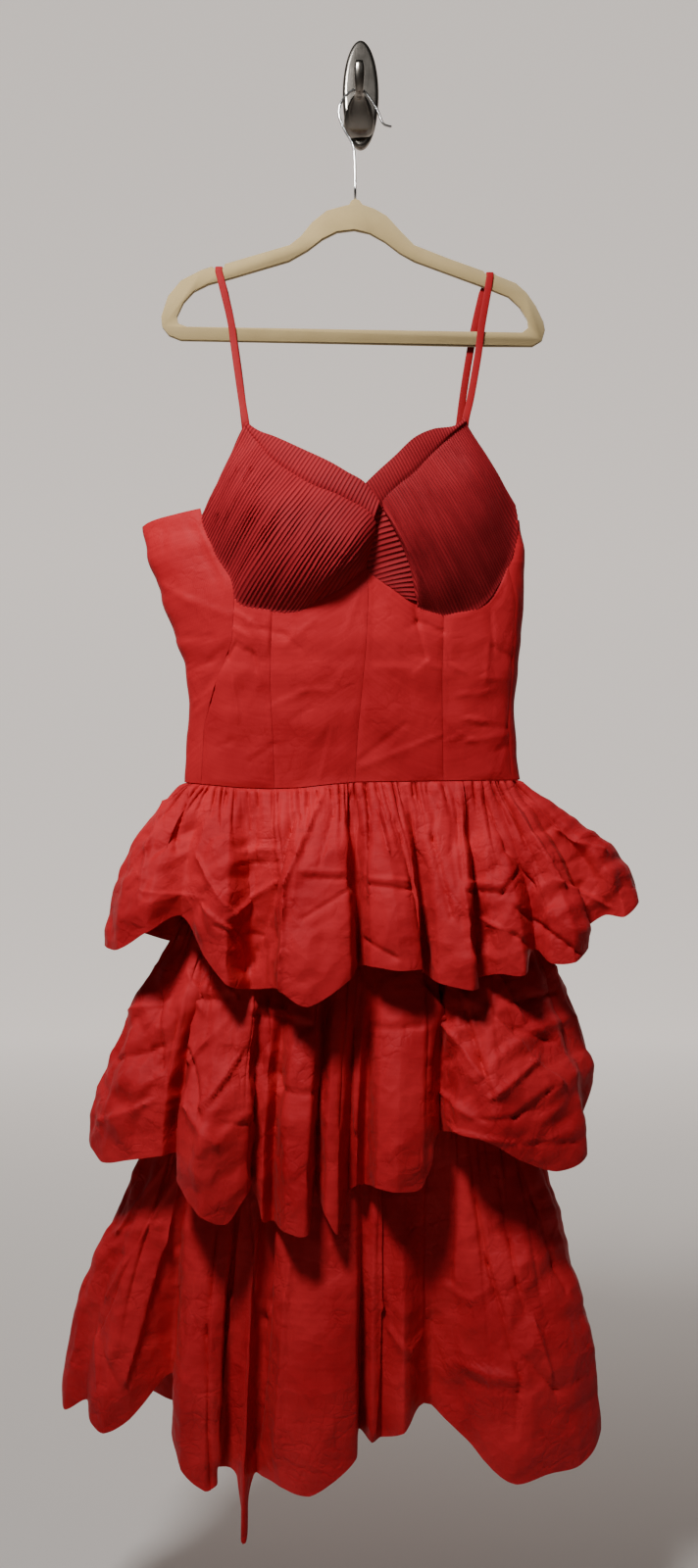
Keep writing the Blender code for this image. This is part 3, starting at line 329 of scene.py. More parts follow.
TIER2_BACK = table(Wave, (
    (99.5, 256, -36, -1180), (97.0, 244, -18, -1210), (92.0, 212, -28, -1234), (86.0, 176, -9, -1252),
    (79.0, 138, -27, -1258), (71.0, 98, -8, -1266), (63.0, 58, -26, -1250), (54.0, 18, -8, -1262),
    (46.0, -24, -28, -1248), (37.0, -66, -9, -1268), (28.0, -112, -27, -1254), (20.0, -156, -8, -1270),
    (12.0, -204, -26, -1250), (6.0, -246, -10, -1246), (2.5, -280, -24, -1234), (0.6, -296, -38, -1236),
))
TIER3_FRONT = table(Wave, (
    (0.3, -336, -46, -1518), (0.9, -346, -62, -1528), (1.8, -338, -78, -1542), (3.0, -310, -86, -1526),
    (4.3, -300, -106, -1541), (6.0, -286, -114, -1549), (8.3, -260, -108, -1538),
    (10.8, -214, -84, -1496), (12.8, -210, -116, -1550), (15.4, -198, -138, -1576),
    (18.9, -170, -148, -1593), (21.5, -158, -138, -1592), (23.5, -160, -108, -1590),
    (26.0, -138, -120, -1592), (27.6, -129, -137, -1656), (29.2, -121, -118, -1600),
    (31.2, -116, -104, -1597), (34.7, -90, -138, -1594), (40.8, -57, -156, -1595),
    (46.9, -31, -154, -1580), (52.5, -6, -140, -1562), (55.2, -3, -106, -1548), (58.2, 11, -122, -1555),
    (60.8, 21, -114, -1553), (64.9, 46, -138, -1536), (69.2, 66, -112, -1520), (72.8, 79, -102, -1524),
    (77.5, 109, -122, -1546), (82.8, 141, -145, -1572), (87.5, 166, -153, -1583),
    (92.0, 202, -149, -1574), (95.3, 238, -136, -1572), (97.5, 268, -108, -1548),
    (98.9, 262, -78, -1508), (99.7, 256, -56, -1498),
))
TIER3_BACK = table(Wave, (
    (99.5, 250, -38, -1506), (97.0, 246, -16, -1530), (92.0, 214, -34, -1548), (86.0, 178, -8, -1562),
    (79.0, 138, -36, -1566), (71.0, 96, -8, -1574), (63.0, 56, -34, -1556), (54.0, 14, -8, -1570),
    (46.0, -28, -36, -1554), (37.0, -72, -8, -1578), (28.0, -120, -34, -1562), (20.0, -166, -8, -1580),
    (12.0, -218, -34, -1556), (6.0, -264, -10, -1548), (2.5, -308, -26, -1530), (0.6, -330, -36, -1520),
))

BODICE_CREASES = table(Crease, (
    (-157, -645, -131, -659, 5, 2.0), (-158, -653, -151, -684, 5, -2.5),
    (-146, -632, -123, -646, 5, 2.0), (-140, -672, -123, -681, 5, -2.2),
    (-123, -681, -120, -696, 5, -2.0), (-146, -713, -140, -753, 6, 1.8),
    (-163, -785, -149, -779, 4, -1.4), (-128, -802, -102, -785, 6, -1.6),
    (-100, -739, -65, -722, 6, 1.4), (-65, -722, -36, -722, 5, 1.2), (-76, -753, -59, -742, 5, -1.2),
    (-48, -825, -33, -765, 4, 1.4), (-113, -653, -87, -659, 5, -1.6), (-87, -659, -72, -674, 5, -1.5),
    (-82, -667, -56, -646, 6, 1.2), (-16, -649, -4, -615, 5, 1.2), (-1, -800, 49, -761, 5, -1.8),
    (2, -808, 91, -772, 5, 1.8), (51, -652, 65, -644, 3, -1.8), (65, -644, 91, -655, 4, -2.4),
    (62, -626, 65, -649, 4, -3.5), (65, -649, 74, -690, 5, -2.2), (62, -701, 74, -690, 5, 1.8),
    (65, -688, 88, -696, 5, 1.6), (19, -696, 51, -696, 7, 1.0), (103, -693, 117, -701, 4, 1.6),
    (149, -638, 152, -672, 7, -1.7), (152, -672, 175, -684, 7, -1.7), (146, -672, 143, -707, 7, 1.4),
    (143, -707, 163, -707, 6, 1.2), (114, -727, 146, -722, 6, 1.6), (129, -762, 172, -763, 4, -1.8),
    (120, -753, 140, -756, 5, 2.2), (123, -779, 166, -771, 5, 1.8), (94, -782, 114, -771, 5, 1.4),
    (114, -771, 129, -779, 5, 1.4), (152, -791, 172, -782, 5, -1.8), (-146, -676, -156, -692, 8, -1.4),
))
WING_CREASES = table(Crease, (
    (-190, -518, -155, -597, 5, 2.6), (-200, -523, -162, -600, 2.5, -1.4),
    (-227, -531, -225, -589, 2, -0.9), (-231, -597, -198, -618, 6, 2.0),
    (-198, -618, -152, -635, 6, 2.0), (-212, -659, -172, -661, 5, -2.2),
    (-152, -682, -186, -733, 9, -1.8), (-198, -698, -172, -687, 5, -2.2),
    (-172, -687, -150, -667, 5, -2.0), (-192, -733, -160, -713, 5, 2.6),
    (-189, -745, -165, -725, 5, 2.2),
))
TIER1_CREASES = table(Crease, (
    (-62, -932, -16, -932, 4, -3.0), (-62, -925, -20, -924, 5, 2.5), (9, -940, 54, -943, 4, -3.4),
    (9, -932, 50, -934, 5, 3.0), (-64, -974, -18, -946, 5, -3.0), (116, -947, 156, -950, 4, -3.6),
    (156, -950, 173, -928, 6, -5.0), (122, -938, 150, -941, 6, 4.0), (-180, -915, -142, -972, 7, 5.0),
    (-142, -972, -100, -939, 7, 5.0), (-138, -919, -95, -915, 4, -2.4),
    (-132, -905, -100, -901, 6, 3.5), (-76, -873, -124, -1034, 9, -8.0), (-47, -851, -84, -939, 7, 6.0),
    (-84, -939, -89, -1049, 6, 5.0), (-11, -845, -8, -939, 7, -6.0), (40, -873, 58, -939, 6, -5.0),
    (58, -939, 73, -1030, 6, -5.0), (87, -845, 80, -890, 5, -4.0), (80, -890, 98, -972, 6, -4.5),
    (109, -866, 113, -939, 6, -4.0), (113, -939, 122, -1050, 6, 4.5), (142, -848, 164, -902, 8, -6.0),
    (164, -902, 189, -939, 7, -5.0), (174, -855, 222, -939, 8, 6.0), (222, -939, 276, -965, 7, 5.0),
    (193, -851, 225, -884, 6, 4.0), (225, -884, 273, -906, 6, 4.5), (134, -979, 160, -990, 5, 4.0),
    (160, -990, 185, -1005, 5, -4.5), (174, -968, 236, -1012, 6, -5.0),
    (-225, -840, -240, -902, 7, 5.0), (-240, -902, -244, -953, 7, 5.0),
    (-200, -845, -205, -900, 6, -5.0), (-240, -948, -173, -955, 4, 2.2),
    (-172, -965, -142, -990, 5, 4.0), (-158, -985, -116, -998, 4, -2.4), (5, -1001, 36, -1016, 5, -3.0),
    (-120, -860, -118, -915, 5, -4.0), (20, -862, 30, -905, 5, 4.0), (-30, -856, -45, -915, 5, -3.5),
    (60, -848, 66, -900, 5, 4.0),
))
TIER2_CREASES = table(Crease, (
    (-120, -1087, -57, -1098, 5, -3.5), (-118, -1078, -60, -1088, 5, 2.0),
    (-97, -1143, -90, -1165, 5, -4.0), (-90, -1165, -52, -1167, 4, -3.0),
    (-183, -1020, -170, -1055, 5, -6.0), (-174, -1030, -140, -1066, 5, 5.0),
    (-180, -1070, -140, -1066, 5, -5.0), (-195, -1045, -178, -1080, 6, 5.0),
    (-158, -1015, -150, -1050, 5, -5.0), (-190, -1130, -175, -1185, 7, -7.0),
    (-172, -1115, -192, -1137, 6, 5.0), (-136, -1132, -174, -1182, 7, 6.5),
    (-190, -1182, -160, -1215, 6, 5.0), (-160, -1197, -124, -1200, 4, -2.8),
    (-170, -1215, -175, -1260, 6, 5.0), (-205, -1090, -215, -1150, 7, -5.0),
    (-230, -1070, -222, -1140, 8, -6.0), (-290, -1205, -235, -1180, 7, 5.0),
    (-275, -1140, -225, -1120, 6, -4.5), (-262, -1088, -225, -1075, 6, 4.0),
    (73, -1057, 91, -1093, 6, 5.0), (91, -1093, 129, -1143, 7, 6.0), (111, -1068, 127, -1125, 6, -5.5),
    (127, -1125, 140, -1165, 6, -5.0), (90, -1172, 122, -1190, 6, 5.0),
    (122, -1190, 165, -1187, 5, -3.6), (165, -1187, 204, -1165, 6, -5.0),
    (140, -1165, 190, -1133, 7, 6.0), (190, -1133, 219, -1158, 6, 5.0),
    (172, -1071, 219, -1067, 6, -5.0), (172, -1100, 215, -1114, 6, -5.0),
    (150, -1090, 185, -1125, 6, 5.0), (100, -1205, 160, -1212, 5, 4.0),
    (170, -1215, 235, -1222, 4, -2.4), (5, -1100, 64, -1096, 6, -2.5), (215, -1010, 245, -1060, 6, 4.0),
    (-14, -1035, -22, -1200, 5, -4.5), (-3, -1040, -6, -1210, 5, 4.5), (150, -1035, 178, -1085, 6, 4.5),
    (-110, -1030, -104, -1120, 6, -5.0),
))
TIER3_CREASES = table(Crease, (
    (-198, -1241, -222, -1341, 9, 6.0), (-222, -1341, -262, -1488, 9, 7.0),
    (-202, -1233, -278, -1341, 6, 4.0), (-200, -1257, -286, -1408, 6, 4.0),
    (-206, -1245, -298, -1448, 6, -4.0), (-278, -1339, -226, -1325, 5, 2.5),
    (-298, -1448, -294, -1496, 5, 4.0), (-286, -1468, -272, -1492, 5, -3.0),
    (-162, -1325, -170, -1432, 5, -4.5), (-170, -1432, -162, -1587, 5, -5.0),
    (-131, -1277, -142, -1408, 6, 5.0), (-142, -1408, -158, -1567, 6, 5.0),
    (-127, -1313, -111, -1432, 6, -5.0), (-111, -1432, -123, -1583, 5, -4.0),
    (-103, -1309, -103, -1408, 7, -7.0), (-103, -1408, -117, -1567, 7, -7.0),
    (-73, -1325, -83, -1400, 7, 4.5), (-83, -1400, -93, -1567, 7, 5.0), (22, -1277, 20, -1408, 6, 5.0),
    (20, -1408, 13, -1545, 6, 5.0), (30, -1380, 32, -1432, 5, 3.0), (32, -1432, 54, -1452, 5, 3.5),
    (54, -1452, 64, -1444, 5, 3.0), (104, -1277, 100, -1384, 6, -4.5),
    (126, -1281, 140, -1361, 6, -5.0), (140, -1361, 172, -1472, 6, -5.0),
    (154, -1269, 172, -1380, 5, -4.5), (172, -1380, 180, -1408, 5, -4.0),
    (180, -1257, 195, -1301, 6, -4.5), (195, -1301, 219, -1368, 6, -4.5),
    (219, -1368, 231, -1396, 5, -4.0), (108, -1468, 168, -1472, 7, 5.0),
    (120, -1484, 172, -1486, 4, -2.6), (172, -1472, 166, -1528, 5, -3.0),
    (180, -1456, 211, -1488, 6, -4.5), (211, -1488, 239, -1484, 4, -2.4),
    (140, -1329, 160, -1309, 5, 3.0), (96, -1388, 120, -1400, 5, 3.0), (120, -1400, 140, -1384, 5, 3.0),
    (190, -1420, 205, -1470, 6, 4.5),
))
RUMPLES_1 = table(Rumple, (
    (-300, 1.0), (-110, 1.0), (-75, 0.5), (100, 0.5), (140, 1.0),
))
RUMPLES_2 = table(Rumple, (
    (-300, 1.1), (-125, 1.1), (-100, 0.5), (65, 0.3), (90, 1.2),
))
RUMPLES_3 = table(Rumple, (
    (-300, 0.7), (-200, 0.6), (-170, 0.3), (70, 0.25), (110, 0.7),
))

# Columns and rows of the fine grids.
TIER_COLUMNS = 480
TIER_ROWS = 92
TIER_BACK_COLUMNS = 200
TIER_BACK_ROWS = 56


def smooth(values: Numbers) -> Numbers:
    """Ease a share from 0 to 1."""
    held = np.clip(values, 0.0, 1.0)
    return held * held * (3 - 2 * held)


def curve_between(a: Numbers, b: Numbers, c: Numbers, d: Numbers, part: Numbers) -> Numbers:
    """Return the place at a share of the way from b to c on a smooth curve through four places."""
    return 0.5 * (2 * b + (c - a) * part + (2 * a - 5 * b + 4 * c - d) * part ** 2
                  + (3 * b - a - 3 * c + d) * part ** 3)


def spline(rows: Sequence, places: Numbers) -> Numbers:
    """Read a smooth open curve through rows.

    Args:
        rows: The rows of a table, each a place.
        places: Counts of rows, from 0 to the last row.

    Returns:
        One place for each count.
    """
    points = np.array(rows, float)
    padded = np.vstack([2 * points[0] - points[1], points, 2 * points[-1] - points[-2]])
    held = np.clip(places, 0.0, len(points) - 1.0)
    start = np.minimum(held.astype(int), len(points) - 2)
    part = (held - start)[:, None]
    return curve_between(padded[start], padded[start + 1], padded[start + 2], padded[start + 3], part)


def even_spline(rows: Sequence, shares: Numbers, samples: int = 240) -> Numbers:
    """Read a smooth curve through rows at shares of its length.

    Args:
        rows: The rows of a table, each a place.
        shares: Shares of the curve's length, from 0 to 1.
        samples: How many steps measure the length.

    Returns:
        One place for each share.
    """
    dense = spline(rows, np.linspace(0.0, len(rows) - 1.0, samples + 1))
    run = running_length(dense)
    goal = np.clip(shares, 0.0, 1.0) * run[-1]
    return np.stack([np.interp(goal, run, dense[:, axis]) for axis in range(dense.shape[1])], axis=-1)


def lookup(rows: Sequence, values: Numbers) -> Numbers:
    """Read a two-column table, sorted either way, by straight lines between its rows."""
    table = np.array(sorted(rows), float)
    return np.interp(values, table[:, 0], table[:, 1])


def ring_at(rings: Sequence[Ring], z: Numbers) -> Numbers:
    """Read a table of plan rings.

    Args:
        rings: The rings, from the top down.
        z: Heights.

    Returns:
        The middle, half width, front and back depth at each height.
    """
    table = np.array(rings, float)[::-1]
    held = np.clip(z, table[0, 0], table[-1, 0])
    step = np.clip(np.searchsorted(table[:, 0], held, side="left"), 1, len(table) - 1)
    below = table[step - 1]
    above = table[step]
    part = smooth((above[..., 0] - held) / (above[..., 0] - below[..., 0]))[..., None]
    return (above + part * (below - above))[..., 1:]


def ring_point(rings: Sequence[Ring], phi: Numbers, z: Numbers) -> Grid:
    """Place points on a plan ring.

    Args:
        rings: The rings, from the top down.
        phi: How far round each point is.
        z: How high it is.

    Returns:
        The points.
    """
    phi, z = np.broadcast_arrays(np.asarray(phi, float), np.asarray(z, float))
    middle, half, front, back = np.moveaxis(ring_at(rings, z), -1, 0)
    angle = np.pi * (1 - phi / HALF_TURN)
    bulge = np.abs(np.sin(angle)) ** RING_FULLNESS
    y = np.where(phi % FULL_TURN < HALF_TURN, RING_Y - front * bulge, RING_Y + back * bulge)
    return np.stack([middle + half * np.cos(angle), y, z], axis=-1)


def phi_of_x(rings: Sequence[Ring], x: Numbers, z: Numbers) -> Numbers:
    """Find the front phi of places across.

    Args:
        rings: The rings, from the top down.
        x: The places across.
        z: Their heights.

    Returns:
        Phi at each place.
    """
    ring = ring_at(rings, np.asarray(z, float))
    across = np.clip((x - ring[..., 0]) / ring[..., 1], -RING_REACH, RING_REACH)
    return HALF_TURN * (1 - np.arccos(across) / np.pi)


def on_bodice(edge: Sequence[EdgeSpot]) -> Grid:
    """Return an edge's points on the bodice's front surface."""
    x, z = np.array(edge, float).T
    return ring_point(BODICE_RINGS, phi_of_x(BODICE_RINGS, x, z), z)


def seam_phi(seam: Sequence[SeamSpot], z: Numbers) -> Numbers:
    """Return phi of a bodice seam at each height."""
    return phi_of_x(BODICE_RINGS, lookup(seam, z), z)


def waist_z(phi: Numbers) -> Numbers:
    """Read how high the waist seam runs.

    Args:
        phi: How far round each point is.

    Returns:
        The heights.
    """
    right_end = WAIST_FRONT[0]
    left_end = WAIST_FRONT[-1]
    across = 0.5 - 0.5 * np.cos(np.pi * phi / HALF_TURN)
    front = lookup(WAIST_FRONT, right_end.x + across * (left_end.x - right_end.x))
    back = left_end.z + (phi - HALF_TURN) / HALF_TURN * (right_end.z - left_end.z)
    return np.where(phi > HALF_TURN, back, front)


def plan_normal(place: Callable[[Numbers], Grid], phi: Numbers) -> Grid:
    """Find which way a closed curve faces in plan.

    Args:
        place: What gives the curve's points at phi.
        phi: How far round each point is.

    Returns:
        The level outward normals.
    """
    step = 0.01
    along = place((phi + step) % FULL_TURN) - place((phi - step) % FULL_TURN)
    out = np.stack([along[..., 1], -along[..., 0], np.zeros_like(phi)], axis=-1)
    return out / np.linalg.norm(out, axis=-1, keepdims=True)


def grid_normals(points: Grid) -> Grid:
    """Find which way a grid faces.

    Args:
        points: The grid.

    Returns:
        The outward normal at each point.
    """
    along = np.gradient(points, axis=1)
    down = np.gradient(points, axis=0)
    out = np.cross(down, along)
    return out / np.maximum(np.linalg.norm(out, axis=-1, keepdims=True), LEAST_LENGTH)


def running_length(line: Grid) -> Numbers:
    """Return how far each point of a line lies along it."""
    return np.concatenate([[0.0], np.cumsum(np.linalg.norm(np.diff(line, axis=0), axis=1))])


def cloth_lengths(points: Grid) -> tuple[Numbers, Numbers]:
    """Measure a grid of cloth.

    Args:
        points: The grid.

    Returns:
        How far each point lies along the cloth, by its foot, and down it.
    """
    along = running_length(points[-1])
    steps = np.linalg.norm(np.diff(points, axis=0), axis=2)
    down = np.vstack([np.zeros(points.shape[1]), np.cumsum(steps, axis=0)])
    return np.broadcast_to(along, down.shape), down


class Noise:
    """Smooth noise over a plane, the same each run for one seed."""

    SIZE = 64
    GAIN = 1.6

    def __init__(self, seed: int) -> None:
        """Draw the noise's slopes."""
        angles = np.random.default_rng(seed).uniform(0, 2 * np.pi, (self.SIZE, self.SIZE))
        self.slopes = np.stack([np.cos(angles), np.sin(angles)], axis=-1)

    def at(self, x: Numbers, y: Numbers) -> Numbers:
        """Return noise from about -1 to 1 at each place.

        Args:
            x: Places across, in noise cells.
            y: Places down, in noise cells.

        Returns:
            The noise there.
        """
        column = np.floor(x).astype(int)
        row = np.floor(y).astype(int)
        across = x - column
        down = y - row
        ease_x = smooth(across)
        ease_y = smooth(down)
        total = np.zeros_like(across)
        for i in (0, 1):
            for j in (0, 1):
                slope = self.slopes[(row + j) % self.SIZE, (column + i) % self.SIZE]
                value = slope[..., 0] * (across - i) + slope[..., 1] * (down - j)
                weight_x = ease_x if i else 1 - ease_x
                weight_y = ease_y if j else 1 - ease_y
                total = total + value * weight_x * weight_y
        return self.GAIN * total


@dataclass(frozen=True)
class Crumple:
    """Crisp folds scattered over cloth, each a straight crest between flat slopes."""

    height: float
    reach: float
    spacing: float
    seed: int
    spread: float = 0.7

    # The least and greatest shares of the reach and height that a fold is drawn with.
    REACHES = (0.45, 1.2)
    HALF_LENGTHS = (0.8, 2.4)
    HEIGHTS = (0.3, 1.0)
    END_SLOPE = 1.8

    def relief(self, along: Numbers, down: Numbers) -> Numbers:
        """Return how far the cloth stands out at each place.

        Args:
            along: Lengths along the cloth.
            down: Lengths down the cloth.

        Returns:
            The relief there, in millimetres.
        """
        draw = np.random.default_rng(self.seed)
        wide = along.max()
        tall = down.max()
        relief = np.zeros(down.shape)
        for _ in range(int(wide * tall / self.spacing ** 2)):
            away = along - draw.uniform(0.0, wide)
            below = down - draw.uniform(0.0, tall)
            turn = draw.normal(np.pi / 2, self.spread)
            reach = self.reach * draw.uniform(*self.REACHES)
            half = self.reach * draw.uniform(*self.HALF_LENGTHS)
            height = self.height * draw.uniform(*self.HEIGHTS) * draw.choice((-1.0, 1.0))
            on = away * np.cos(turn) + below * np.sin(turn)
            off = below * np.cos(turn) - away * np.sin(turn)
            roof = np.minimum(1 - np.abs(off) / reach, self.END_SLOPE * (1 - np.abs(on) / half))
            relief += height * np.clip(roof, 0.0, 1.0)
        return relief


@dataclass(frozen=True)
class Facets:
    """Crumpled cloth as flat facets that meet in sharp folds."""

    height: float
    wide: float
    tall: float
    turn: float
    seed: int

    SIZE = 64
    BEND = 0.45
    BEND_SCALE = 0.9
    BEND_SHIFT_X = 3.3
    BEND_SHIFT_Y = 7.7

    def relief(self, along: Numbers, down: Numbers) -> Numbers:
        """Return how far the cloth stands out at each place.

        Args:
            along: Lengths along the cloth.
            down: Lengths down the cloth.

        Returns:
            The relief there, in millimetres.
        """
        corners = np.random.default_rng(self.seed).uniform(-1.0, 1.0, (self.SIZE, self.SIZE))
        bend = Noise(self.seed + 1)
        x = (along * math.cos(self.turn) - down * math.sin(self.turn)) / self.wide
        y = (along * math.sin(self.turn) + down * math.cos(self.turn)) / self.tall
        bend_x, bend_y = x * self.BEND_SCALE, y * self.BEND_SCALE
        x = x + self.BEND * bend.at(bend_x + self.BEND_SHIFT_X, bend_y)
        y = y + self.BEND * bend.at(bend_x, bend_y + self.BEND_SHIFT_Y)
        column = np.floor(x).astype(int)
        row = np.floor(y).astype(int)
        across = x - column
        below = y - row

        def corner(right: int, lower: int) -> Numbers:
            """Return the height drawn for a corner of each place's cell."""
            return corners[(row + lower) % self.SIZE, (column + right) % self.SIZE]

        first, last = corner(0, 0), corner(1, 1)
        right, lower = corner(1, 0), corner(0, 1)
        near = first + across * (right - first) + below * (lower - first)
        far = last + (1 - across) * (lower - last) + (1 - below) * (right - last)
        return self.height * np.where(across + below < 1, near, far)


def crease_relief(points: Grid, creases: Sequence[Crease]) -> Numbers:
    """Return the relief of a table of fold lines, each steeper on one side.

    Args:
        points: A grid of points.
        creases: The fold lines.

    Returns:
        How far each point stands out.
    """
    steep_share = 0.35
    end_width, more_at_middle = 0.6, 0.4
    relief = np.zeros(points.shape[:2])
    for crease in creases:
        start = np.array([crease.x1, crease.z1])
        line = np.array([crease.x2, crease.z2]) - start
        away = points[..., [0, 2]] - start
        length = np.linalg.norm(line)
        share = (away @ line) / length ** 2
        side = (away[..., 0] * line[1] - away[..., 1] * line[0]) / length
        steep = np.where(side > 0, side, -side / steep_share)
        past = np.clip(np.abs(share - 0.5) - 0.5, 0.0, None) * length
        middle = np.sin(np.pi * np.clip(share, 0.0, 1.0))
        width = crease.width * (end_width + more_at_middle * middle)
        relief += crease.height * np.exp(-steep / width - (past / crease.width) ** 2)
    return relief


class Wire:
    """A shader socket that adds Math nodes when it is used in sums."""

    def __init__(self, shader: "Shader", socket: bpy.types.NodeSocket) -> None:
        """Keep the socket and the shader it belongs to."""
        self.shader = shader
        self.socket = socket

    def _sum(self, operation: str, *values: "Wire | float") -> "Wire":
        """Add a Math node."""
        return self.shader.node("ShaderNodeMath", {"operation": operation}, dict(enumerate(values)))

    def __add__(self, other: "Wire | float") -> "Wire":
        """Add."""
        return self._sum("ADD", self, other)

    __radd__ = __add__

    def __sub__(self, other: "Wire | float") -> "Wire":
        """Take away."""
        return self._sum("SUBTRACT", self, other)

    def __mul__(self, other: "Wire | float") -> "Wire":
        """Multiply."""
        return self._sum("MULTIPLY", self, other)

    def sine(self) -> "Wire":
        """Return the sine."""
        return self._sum("SINE", self)

    def clamp(self) -> "Wire":
        """Hold between 0 and 1."""
        return self.shader.node("ShaderNodeClamp", {}, {0: self})


class Shader:
    """A material whose Principled shader is fed by wires."""

    def __init__(self, name: str, **constants: "float | tuple[float, ...]") -> None:
        """Make the material and set its constant sockets.

        Args:
            name: The material's name.
            constants: What the shader's plain sockets are set to.
        """
        self.material = bpy.data.materials.new(name)
        self.material.use_nodes = True
        self.tree = self.material.node_tree
        self.surface = self.tree.nodes["Principled BSDF"]
        for socket, value in constants.items():
            self.surface.inputs[socket.replace("_", " ")].default_value = value

    def put(self, socket: bpy.types.NodeSocket, value: "Wire | float | tuple") -> None:
        """Link a wire to a socket, or set its value.

        Args:
            socket: The socket.
            value: What feeds it.
        """
        if isinstance(value, Wire):
            self.tree.links.new(value.socket, socket)
        else:
            socket.default_value = value

    def node(self, kind: str, settings: dict, inputs: dict, output: "int | str" = 0) -> Wire:
        """Add a node.

        Args:
            kind: The node's type.
            settings: Its own settings, which are set first.
            inputs: Values or wires for its sockets, by name or number.
            output: The output that the wire leaves from.

        Returns:
            A wire from the output.
        """
        made = self.tree.nodes.new(kind)
        for key, value in settings.items():
            setattr(made, key, value)
        for key, value in inputs.items():
            self.put(made.inputs[key], value)
        return Wire(self, made.outputs[output])

    def mix(self, factor: "Wire | float", first: "Wire | tuple", second: "Wire | tuple") -> Wire:
        """Mix two colours."""
        return self.node("ShaderNodeMix", {"data_type": "RGBA"}, {0: factor, 6: first, 7: second}, 2)

    def place(self, system: str) -> Wire:
        """Read one of the surface's own coordinates."""
        return self.node("ShaderNodeTexCoord", {}, {}, system)

    def axes(self, vector: Wire) -> list[Wire]:
        """Part a vector into x, y and z."""
        split = self.node("ShaderNodeSeparateXYZ", {}, {0: vector}).socket.node
        return [Wire(self, output) for output in split.outputs]

    def stretch(self, vector: Wire, scale: tuple[float, float, float]) -> Wire:
        """Scale a vector along each axis."""
        return self.node("ShaderNodeMapping", {}, {"Vector": vector, "Scale": scale})

    def noise(self, vector: Wire, scale: float, detail: float, output: "int | str" = 0) -> Wire:
        """Add a noise texture."""
        return self.node("ShaderNodeTexNoise", {},
                         {"Vector": vector, "Scale": scale, "Detail": detail}, output)

    def cells(self, vector: Wire, scale: float, feature: str = "F1") -> Wire:
        """Add a cell texture's distances, which meet in crisp ridges."""
        return self.node("ShaderNodeTexVoronoi", {"feature": feature}, {"Vector": vector, "Scale": scale})

    def lines(self, vector: Wire, scale: float, sharpness: float) -> Wire:
        """Add thin lines, from 0 to 1, along the edges of straight-sided cells."""
        edge = self.cells(vector, scale, "DISTANCE_TO_EDGE")
        return (edge * -sharpness + 1.0).clamp()

    def bump(self, height: Wire, distance: float, before: "Wire | None" = None) -> Wire:
        """Add a Bump node.

        Args:
            height: The relief.
            distance: How far it stands out, in metres.
            before: The bump that this one lies on, where there is one.

        Returns:
            A wire with the bent normal.
        """
        inputs: dict = {"Height": height, "Distance": distance, "Strength": 1.0}
        if before:
            inputs["Normal"] = before
        return self.node("ShaderNodeBump", {}, inputs)

    def feed(self, socket: str, wire: Wire) -> None:
        """Feed a socket of the Principled shader."""
        self.put(self.surface.inputs[socket], wire)


class CreaseCells(NamedTuple):
    """One size of crumple: its cells to a metre and its share of the depth."""

    scale: float
    share: float


class CreaseLines(NamedTuple):
    """One size of crisp crease line: its cells to a metre, how sharp it is and its share."""

    scale: float
    sharpness: float
    share: float


